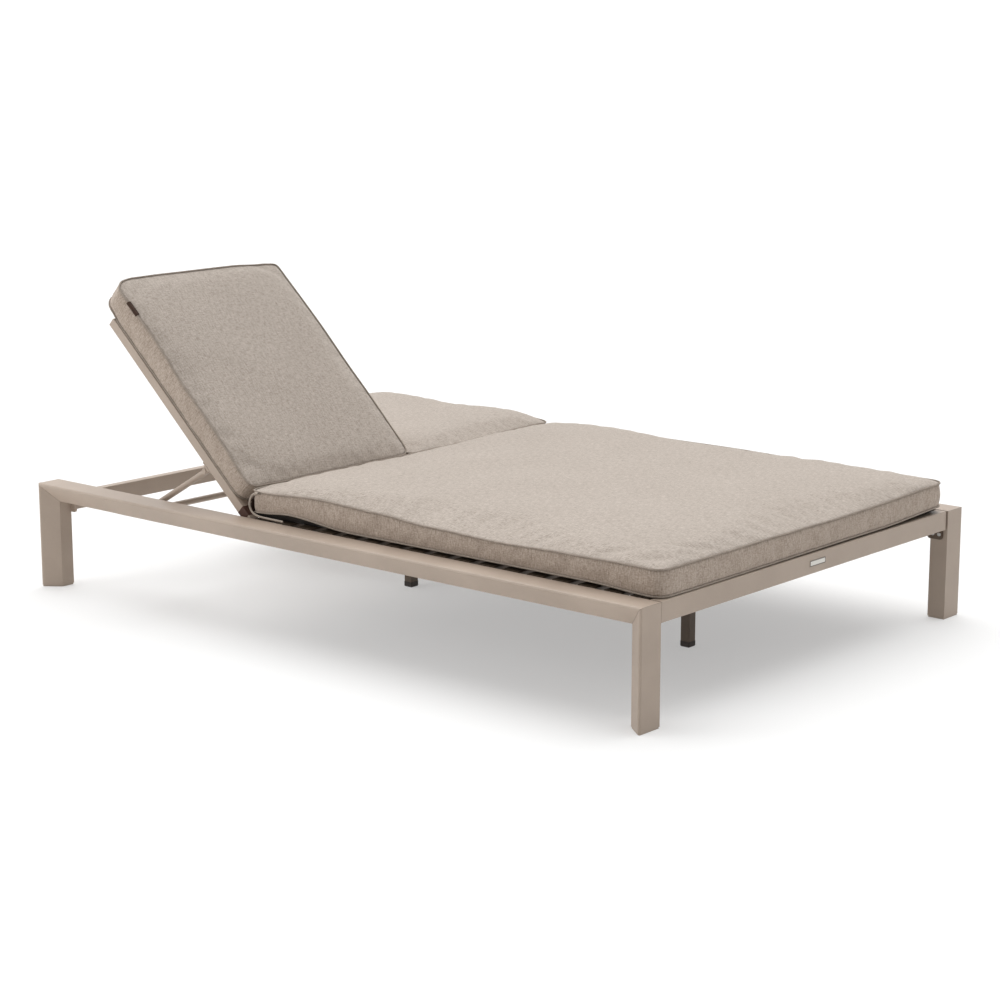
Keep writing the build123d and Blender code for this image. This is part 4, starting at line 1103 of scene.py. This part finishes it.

# Dark webbing straps hold the cushions down: a loop at each head corner of the seat cushion, sewn
# in behind the tie, and a loop round each backrest's bottom tube under its cushion. Their near black
# is partly painted shade, for the shade in the gaps at the seat cushion's head corners.
strap_width = 0.028
strap_thickness = 0.0010
strap_from = 0.556
seat_strap_from = 0.586
strap_and_shade_colours = ((0.022, 0.009, 0.005, 1.0), (0.060, 0.027, 0.016, 1.0))
seat_strap_line = [
    (-0.2520, 0.3380), (-0.2600, 0.3300), (-0.2675, 0.3150), (-0.2685, 0.3000),
    (-0.2640, 0.2900), (-0.2540, 0.2850), (-0.2350, 0.2838), (-0.2200, 0.2836),
]
strap_rib_turns = 3100.0
strap_pick_turns = 2400.0


def webbing_and_shade_material():
    """Ribbed dark brown polyester webbing, its near black partly painted shade."""
    material, tree, shader = new_material("dark webbing")
    place = add_node(tree, "ShaderNodeTexCoord").outputs["Object"]
    axes = add_node(tree, "ShaderNodeSeparateXYZ", {"Vector": place}).outputs
    ribs = wave(tree, axes["Y"], strap_rib_turns)
    picks = wave(tree, maths(tree, "ADD", axes["X"], axes["Z"]), strap_pick_turns)
    weave = maths(tree, "ADD", weighed(tree, (ribs, 0.3), (picks, 0.15)), 0.5)
    colour = colour_steps(tree, weave, *zip((0.1, 0.9), strap_and_shade_colours))
    finish_surface(tree, shader, colour, roughness=0.7, height=weave, depth=0.0003, strength=0.8)
    return material


def strap(name, line, side, outer_y, closed=False):
    """A flat strap that follows a line in x and z, its outer edge so far out on one side."""
    low_y = min(side * outer_y, side * (outer_y - strap_width))
    count = len(line)
    points, faces = [], []
    for k, (x, z) in enumerate(line):
        before = line[k - 1] if closed or k else line[0]
        after = line[(k + 1) % count] if closed or k < count - 1 else line[-1]
        run = Vector((after[0] - before[0], 0, after[1] - before[1])).normalized()
        out = Vector((run.z, 0, -run.x)) * strap_thickness / 2
        for y in (low_y, low_y + strap_width):
            for offset in (out, -out):
                points.append(Vector((x, y, z)) + offset)
    for k in range(count if closed else count - 1):
        a, b = 4 * k, 4 * ((k + 1) % count)
        for p, q in ((0, 1), (1, 3), (3, 2), (2, 0)):
            faces.append((a + p, a + q, b + q, b + p))
    if not closed:
        last = 4 * (count - 1)
        faces += [(0, 2, 3, 1), (last, last + 1, last + 3, last + 2)]
    return shell(name, points, faces, webbing_and_shade)


def softened(line, closed=False):
    """A line whose corners are cut off twice, so that a strap bends softly."""
    for _ in range(2):
        cut = []
        for (ax, az), (bx, bz) in zip(line, line[1:] + line[:1] if closed else line[1:]):
            for a, b in ((0.75, 0.25), (0.25, 0.75)):
                cut.append((a * ax + b * bx, a * az + b * bz))
        line = cut if closed else [line[0]] + cut + [line[-1]]
    return line


webbing_and_shade = webbing_and_shade_material()
seat_loops = [strap("seat strap", softened(seat_strap_line), side, seat_strap_from) for side in (-1, 1)]
seat_straps = join_pieces("seat_straps", seat_loops)
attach(seat_straps, "frame")

strap_slack = 0.010
strap_over_tube = 0.0004
tube_low, tube_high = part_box("far_bottom_tube")
loop_x = (tube_high.x + strap_thickness, tube_low.x - strap_thickness)
loop_z = (tube_high.z + strap_over_tube, tube_low.z - strap_thickness - strap_slack)
loop_corners = [(loop_x[i], loop_z[j]) for i, j in ((0, 0), (0, 1), (1, 1), (1, 0))]
loop_line = []
for (ax, az), (bx, bz) in zip(loop_corners, loop_corners[1:] + loop_corners[:1]):
    loop_line += [(ax, az), ((ax + bx) / 2, (az + bz) / 2)]
backrests = (("near_backrest", -1, turn_up), ("far_backrest", 1, Matrix()))
for body, side, turn in backrests:
    tube_strap = strap(body + "_strap", softened(loop_line, True), side, strap_from, True)
    tube_strap.data.transform(turn)
    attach(tube_strap, body)

# A moulded shoe closes round each stile just above its hinge, so that the tube doesn't rub
# against the cushions or the hinge rings. Its dark reddish brown is partly painted shade, for the
# shade on the stile's end beside the seat cushion's head.
shoe_stations = (
    (-0.0095, 0.0126), (-0.0105, 0.0128), (-0.0170, 0.0128), (-0.0175, 0.01262),
    (-0.0195, 0.01262), (-0.0200, 0.0128), (-0.0265, 0.0128), (-0.0270, 0.01262),
    (-0.0290, 0.01262), (-0.0295, 0.0128), (-0.0370, 0.0128), (-0.0380, 0.01255),
)
shoe_corner = 0.0022
shoe_corner_steps = 4
shoe_and_shade_colour = (0.060, 0.020, 0.010, 1.0)
shoe_and_shade_plastic = moulded_plastic("reddish brown shoe plastic", shoe_and_shade_colour, 0.6)


def rounded_ring(x, low, high, corner, steps):
    """The points round a rectangle between two (y, z) places, with its corners rounded."""
    ring = []
    for quarter in range(4):
        middle_y = high[0] - corner if quarter in (0, 3) else low[0] + corner
        middle_z = high[1] - corner if quarter in (0, 1) else low[1] + corner
        for step in range(steps):
            angle = pi / 2 * (quarter + step / (steps - 1))
            ring.append((x, middle_y + corner * cos(angle), middle_z + corner * sin(angle)))
    return ring


def ring_faces(count, around):
    """The faces between rings of points that follow each other, then one over each end."""
    faces = []
    for first in range(0, (count - 1) * around, around):
        for k in range(around):
            a, b = first + k, first + (k + 1) % around
            faces.append((a, b, b + around, a + around))
    last = (count - 1) * around
    return faces + [tuple(range(around - 1, -1, -1)), tuple(range(last, last + around))]


def hinge_shoe(middle_y):
    """A square sleeve with two grooves round a stile, on the flat backrest."""
    points = []
    for along, half in shoe_stations:
        low = (middle_y - half, hinge_place.z - half)
        high = (middle_y + half, hinge_place.z + half)
        points += rounded_ring(hinge_place.x + along, low, high, shoe_corner, shoe_corner_steps)
    faces = ring_faces(len(shoe_stations), 4 * shoe_corner_steps)
    return shell("hinge shoe", points, faces, shoe_and_shade_plastic)


for body, side, turn in backrests:
    stiles = [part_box("far_" + place + "_stile") for place in ("outer", "inner")]
    middles = [side * (low.y + high.y) / 2 for low, high in stiles]
    shoes = join_pieces(body + "_shoes", [hinge_shoe(middle) for middle in middles])
    shoes.data.transform(turn)
    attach(shoes, body)

# The tab is a folded strip of dark brown leather, sewn over the piping at the near cushion's
# upper corner. It is blank.
tab_start = 0.062
tab_length = 0.047
tab_steps = 8
tab_thickness = 0.0010
tab_section = (
    (-0.0050, 0.0046), (-0.0020, 0.0042), (0.0010, 0.0040), (0.0032, 0.0028),
    (0.0042, 0.0008), (0.0042, -0.0014), (0.0040, -0.0036),
)
leather_pebble_scale = 900.0
leather_patch_size = 0.006
leather_colours = ((0.018, 0.007, 0.003, 1.0), (0.050, 0.021, 0.010, 1.0))


def leather_material():
    """Fine-grained dark brown leather."""
    material, tree, shader = new_material("tab leather")
    place = add_node(tree, "ShaderNodeTexCoord").outputs["Object"]
    cells = {"Vector": place, "Scale": leather_pebble_scale}
    pebbles = add_node(tree, "ShaderNodeTexVoronoi", cells).outputs["Distance"]
    tone = weighed(tree, (pebbles, 0.6), (noise_at(tree, place, leather_patch_size, detail=3.0), 1.0))
    colour = colour_steps(tree, tone, *zip((0.3, 0.95), leather_colours))
    shader.inputs["Specular IOR Level"].default_value = 0.3
    finish_surface(tree, shader, colour, roughness=0.7, height=pebbles, depth=0.0002, strength=0.7)
    return material


def seam_place(piece, loop, distance):
    """The place on a seam at a distance from its first point."""
    for first, second in zip(loop, loop[1:]):
        a, b = piece.data.vertices[first].co, piece.data.vertices[second].co
        step = (b - a).length
        if distance <= step:
            return a.lerp(b, distance / step)
        distance -= step
    return b.copy()


face_up = turn_up.to_3x3() @ Vector((0, 0, 1))
tab_points, tab_faces = [], []
for step in range(tab_steps + 1):
    on_seam = seam_place(near_pad, near_back.seams[0], tab_start + tab_length * step / tab_steps)
    for out, up in tab_section:
        tab_points.append(on_seam + Vector((0, -out, 0)) + face_up * up)
for step in range(tab_steps):
    for k in range(len(tab_section) - 1):
        a = step * len(tab_section) + k
        b = a + len(tab_section)
        tab_faces.append((a, a + 1, b + 1, b))
tab_mesh = bpy.data.meshes.new("cushion_tab")
tab_mesh.from_pydata(tab_points, [], tab_faces)
tab_mesh.materials.append(leather_material())
tab = new_object("cushion_tab", tab_mesh)
tab_wall = tab.modifiers.new("wall", "SOLIDIFY")
tab_wall.thickness = tab_thickness
tab_wall.offset = 0.0
tab_soft = tab.modifiers.new("soft", "SUBSURF")
tab_soft.levels = tab_soft.render_levels = 1
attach(tab, "near_cushion")
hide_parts("cushion_tag")

# A small blank plate of satin aluminium sits on the foot rail's outer face: a bright rim, a
# dark groove inside it and a brushed field.
plate_corner = 0.0020
plate_least_corner = 0.0004
plate_corner_steps = 5
plate_levels = (
    (0.0000, 0.0000, 0),
    (0.0000, 0.0009, 0),
    (0.0003, 0.0012, 0),
    (0.0011, 0.0012, 1),
    (0.0013, 0.0008, 1),
    (0.0021, 0.0008, 2),
    (0.0023, 0.0011, 2),
)
plate_looks = (
    ("plate rim", (0.30, 0.27, 0.235, 1.0), 1.0),
    ("plate groove", (0.035, 0.030, 0.026, 1.0), 0.0),
    ("plate field", (0.66, 0.64, 0.60, 1.0), 1.0),
)
brush_width = 0.0004
brush_stretch = 0.02


def satin_metal(name, colour, metal):
    """Satin aluminium, brushed along its length, or paint in its groove."""
    material, tree, shader = new_material(name)
    place = add_node(tree, "ShaderNodeTexCoord").outputs["Object"]
    brushed = noise_at(tree, place, brush_width, detail=3.0, stretch=(1.0, brush_stretch, 1.0))
    dull = tuple(value * 0.88 for value in colour[:3]) + (1.0,)
    tone = colour_steps(tree, brushed, (0.3, dull), (0.7, colour))
    roughness = maths(tree, "MULTIPLY_ADD", brushed, 0.2, 0.32)
    finish_surface(tree, shader, tone, roughness, height=brushed, depth=0.00003, strength=0.5)
    shader.inputs["Metallic"].default_value = metal
    return material


plate_low, plate_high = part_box("badge_plate")
plate_points = []
for inset, height, _ in plate_levels:
    low = (plate_low.y + inset, plate_low.z + inset)
    high = (plate_high.y - inset, plate_high.z - inset)
    corner = max(plate_corner - inset, plate_least_corner)
    plate_points += rounded_ring(plate_low.x + height, low, high, corner, plate_corner_steps)
plate_faces = ring_faces(len(plate_levels), 4 * plate_corner_steps)
plate_parts = [level[2] for level in plate_levels[:-1] for _ in range(4 * plate_corner_steps)] + [0, 2]
plate_metals = [satin_metal(*look) for look in plate_looks]
plate = shell("blank_plate", plate_points, plate_faces, *plate_metals)
plate.data.polygons.foreach_set("material_index", plate_parts)
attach(plate, "frame")
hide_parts("badge_plate")
